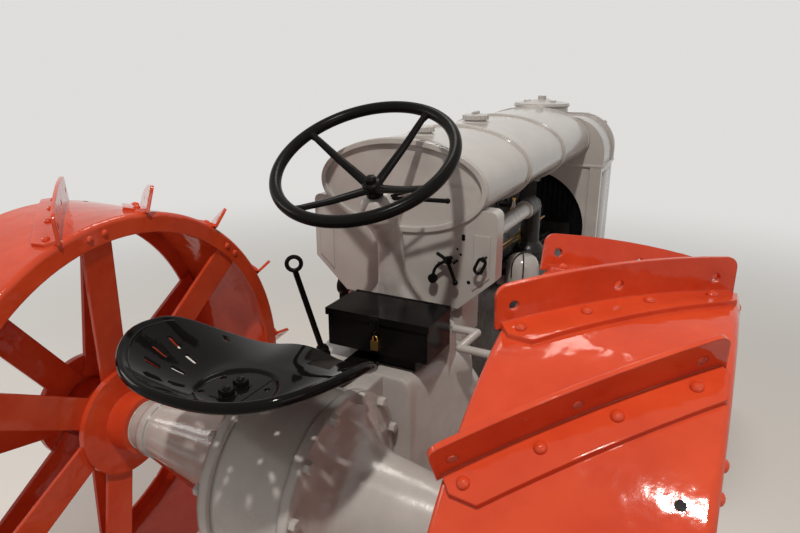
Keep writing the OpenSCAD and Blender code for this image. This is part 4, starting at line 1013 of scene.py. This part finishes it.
def gear_lever():
    """The bent-over lever with its loop turned towards the seat."""
    x, y, z = LEVER_FOOT
    lever = Solid()
    lever.rod(at_rear(x, y, z), at_rear(*LEVER_END), 15, 13, sides=24)
    half_turn = arc(-75, 75, 15)
    ball = [(BALL_R * math.cos(t), BALL_R * math.sin(t)) for t in half_turn]
    lever.lathe(at_rear(x, y, z), UP, [(0, -BALL_R)] + ball + [(0, BALL_R)], 32)
    lever.lathe(at_rear(x, y, z - LEVER_SEAT_DROP), UP, LEVER_SEAT, 32)
    lever.ring(at_rear(*LOOP), LOOP_AXIS, LOOP_R, LOOP_WIRE, 48, 16)
    lever = lever.done("gear_lever_looped", "root", "black_enamel", enamel, smooth=50)
    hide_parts("gear_lever")


gear_lever()

# Front axle: how far out the kingpins and the rods' nuts are
KINGPIN_Y, ROD_NUT_Y = 500, 380


def link_trim():
    """Nuts on the front axle, each riding the part it's fixed to."""
    axle = Solid()
    for side, hand in SIDES:
        knuckle = Solid()
        for z, way in ((80, UP), (-84, DOWN)):
            knuckle.hex_bolt(at_front(0, side * KINGPIN_Y, z), way, 34, 22)
        knuckle.hex_bolt(at_front(-120, side * KINGPIN_Y, 32), UP, 19, 14, stud=4)
        knuckle.done("knuckle_nuts_" + hand, "knuckle_" + hand, "grey_paint", grey)
        axle.hex_bolt(at_front(0, side * ROD_NUT_Y, -40), DOWN, 26, 18)
    axle.done("axle_nuts", "root", "grey_paint", grey)


link_trim()

# Floor, which fades into the background between two distances in metres
BACKDROP = (0.80, 0.79, 0.77, 1.0)
BACKDROP_LEVEL = 0.92
FADE_START, FADE_END = 1.2, 5.5
FLOOR_SIZE = 60


def any_sight(tree):
    """1 where the camera looks straight on, by a reflection or through glass."""
    path = add(tree, "ShaderNodeLightPath")
    last = path.outputs["Is Camera Ray"]
    for name in ("Is Glossy Ray", "Is Transmission Ray"):
        most = add(tree, "ShaderNodeMath", operation="MAXIMUM")
        link(tree, (last, most.inputs[0]), (path.outputs[name], most.inputs[1]))
        last = most.outputs["Value"]
    return last


bpy.ops.mesh.primitive_plane_add(size=FLOOR_SIZE)
floor = bpy.context.object
floor.name = "floor"
floor_paint, ft, floor_shader = new_material("floor_paint")
set_in(floor_shader, Base_Color=(0.78, 0.765, 0.74, 1.0), Roughness=0.7)
place = add(ft, "ShaderNodeTexCoord")
away = add(ft, "ShaderNodeVectorMath", operation="LENGTH")
fade = add(ft, "ShaderNodeMapRange", interpolation_type="SMOOTHSTEP")
set_in(fade, From_Min=FADE_START, From_Max=FADE_END)
glow = add(ft, "ShaderNodeEmission")
set_in(glow, Color=BACKDROP, Strength=BACKDROP_LEVEL)
blend = add(ft, "ShaderNodeMixShader")
share = add(ft, "ShaderNodeMath", operation="MULTIPLY")
link(ft, (place.outputs["Object"], away.inputs[0]), (away.outputs["Value"], fade.inputs["Value"]),
     (fade.outputs["Result"], share.inputs[0]), (any_sight(ft), share.inputs[1]),
     (share.outputs["Value"], blend.inputs["Fac"]), (floor_shader.outputs["BSDF"], blend.inputs[1]),
     (glow.outputs["Emission"], blend.inputs[2]),
     (blend.outputs["Shader"], ft.nodes["Material Output"].inputs["Surface"]))
floor.data.materials.append(floor_paint)

# Background: pale for the camera, a dim warm room for the light
world = bpy.data.worlds.new("studio")
bpy.context.scene.world = world
world.use_nodes = True
wt = world.node_tree
wt.nodes.clear()
w_out = add(wt, "ShaderNodeOutputWorld")
w_mix = add(wt, "ShaderNodeMixShader")
w_light = add(wt, "ShaderNodeBackground")
w_seen = add(wt, "ShaderNodeBackground")
set_in(w_light, Color=(1.0, 0.95, 0.88, 1.0), Strength=0.18)
set_in(w_seen, Color=BACKDROP, Strength=BACKDROP_LEVEL)
link(wt, (any_sight(wt), w_mix.inputs["Fac"]), (w_light.outputs["Background"], w_mix.inputs[1]),
     (w_seen.outputs["Background"], w_mix.inputs[2]), (w_mix.outputs["Shader"], w_out.inputs["Surface"]))


def area(name, where, aim, size, power, color):
    """A soft lamp of a width and height in metres, which faces a point."""
    d = bpy.data.lights.new(name, "AREA")
    d.shape = "RECTANGLE"
    d.size, d.size_y = size
    d.energy = power
    d.color = color
    o = bpy.data.objects.new(name, d)
    bpy.context.scene.collection.objects.link(o)
    o.location = where
    o.rotation_euler = (Vector(aim) - Vector(where)).to_track_quat("-Z", "Y").to_euler()


# The small key lamp casts the seat's shadow, the others are soft
area("key", (-2.35, -0.8, 4.4), (-0.7, 0.0, 0.7), (0.16, 0.16), 110, (1.0, 0.95, 0.88))
area("overhead", (1.2, 0.6, 4.4), (0.2, 0.0, 0.6), (1.2, 1.2), 44, (1.0, 0.94, 0.86))
area("fill", (-2.6, -2.4, 1.9), (-0.6, 0.0, 0.6), (1.0, 1.0), 10, (1.0, 0.94, 0.86))
area("left_side", (-1.6, 3.6, 2.4), (0.0, 0.0, 0.6), (1.4, 1.0), 30, (1.0, 0.96, 0.92))

# Camera, solved from the photograph: focal length in its pixels, then the way it faces and its place
FOCAL_PIXELS, PHOTO_WIDTH, SENSOR = 654.665, 800.0, 36.0
CAMERA_RIGHT = Vector((0.45385087, -0.89107757, -0.00038478))
CAMERA_UP = Vector((0.27482970, 0.13956770, 0.95130936))
CAMERA_LOOK = Vector((0.84763673, 0.43185833, -0.30823751))
CAMERA_AT = Vector((-1.72154, -0.74215, 1.47763))
cam = bpy.data.cameras.new("camera")
cam.sensor_width = SENSOR
cam.lens = FOCAL_PIXELS * SENSOR / PHOTO_WIDTH
cam.clip_start = 0.02
cam_o = bpy.data.objects.new("camera", cam)
bpy.context.scene.collection.objects.link(cam_o)
facing = Matrix((CAMERA_RIGHT, CAMERA_UP, -CAMERA_LOOK)).transposed().to_4x4()
facing.translation = CAMERA_AT
cam_o.matrix_world = facing
scene = bpy.context.scene
scene.camera = cam_o
scene.view_settings.view_transform = "Standard"
scene.view_settings.look = "None"
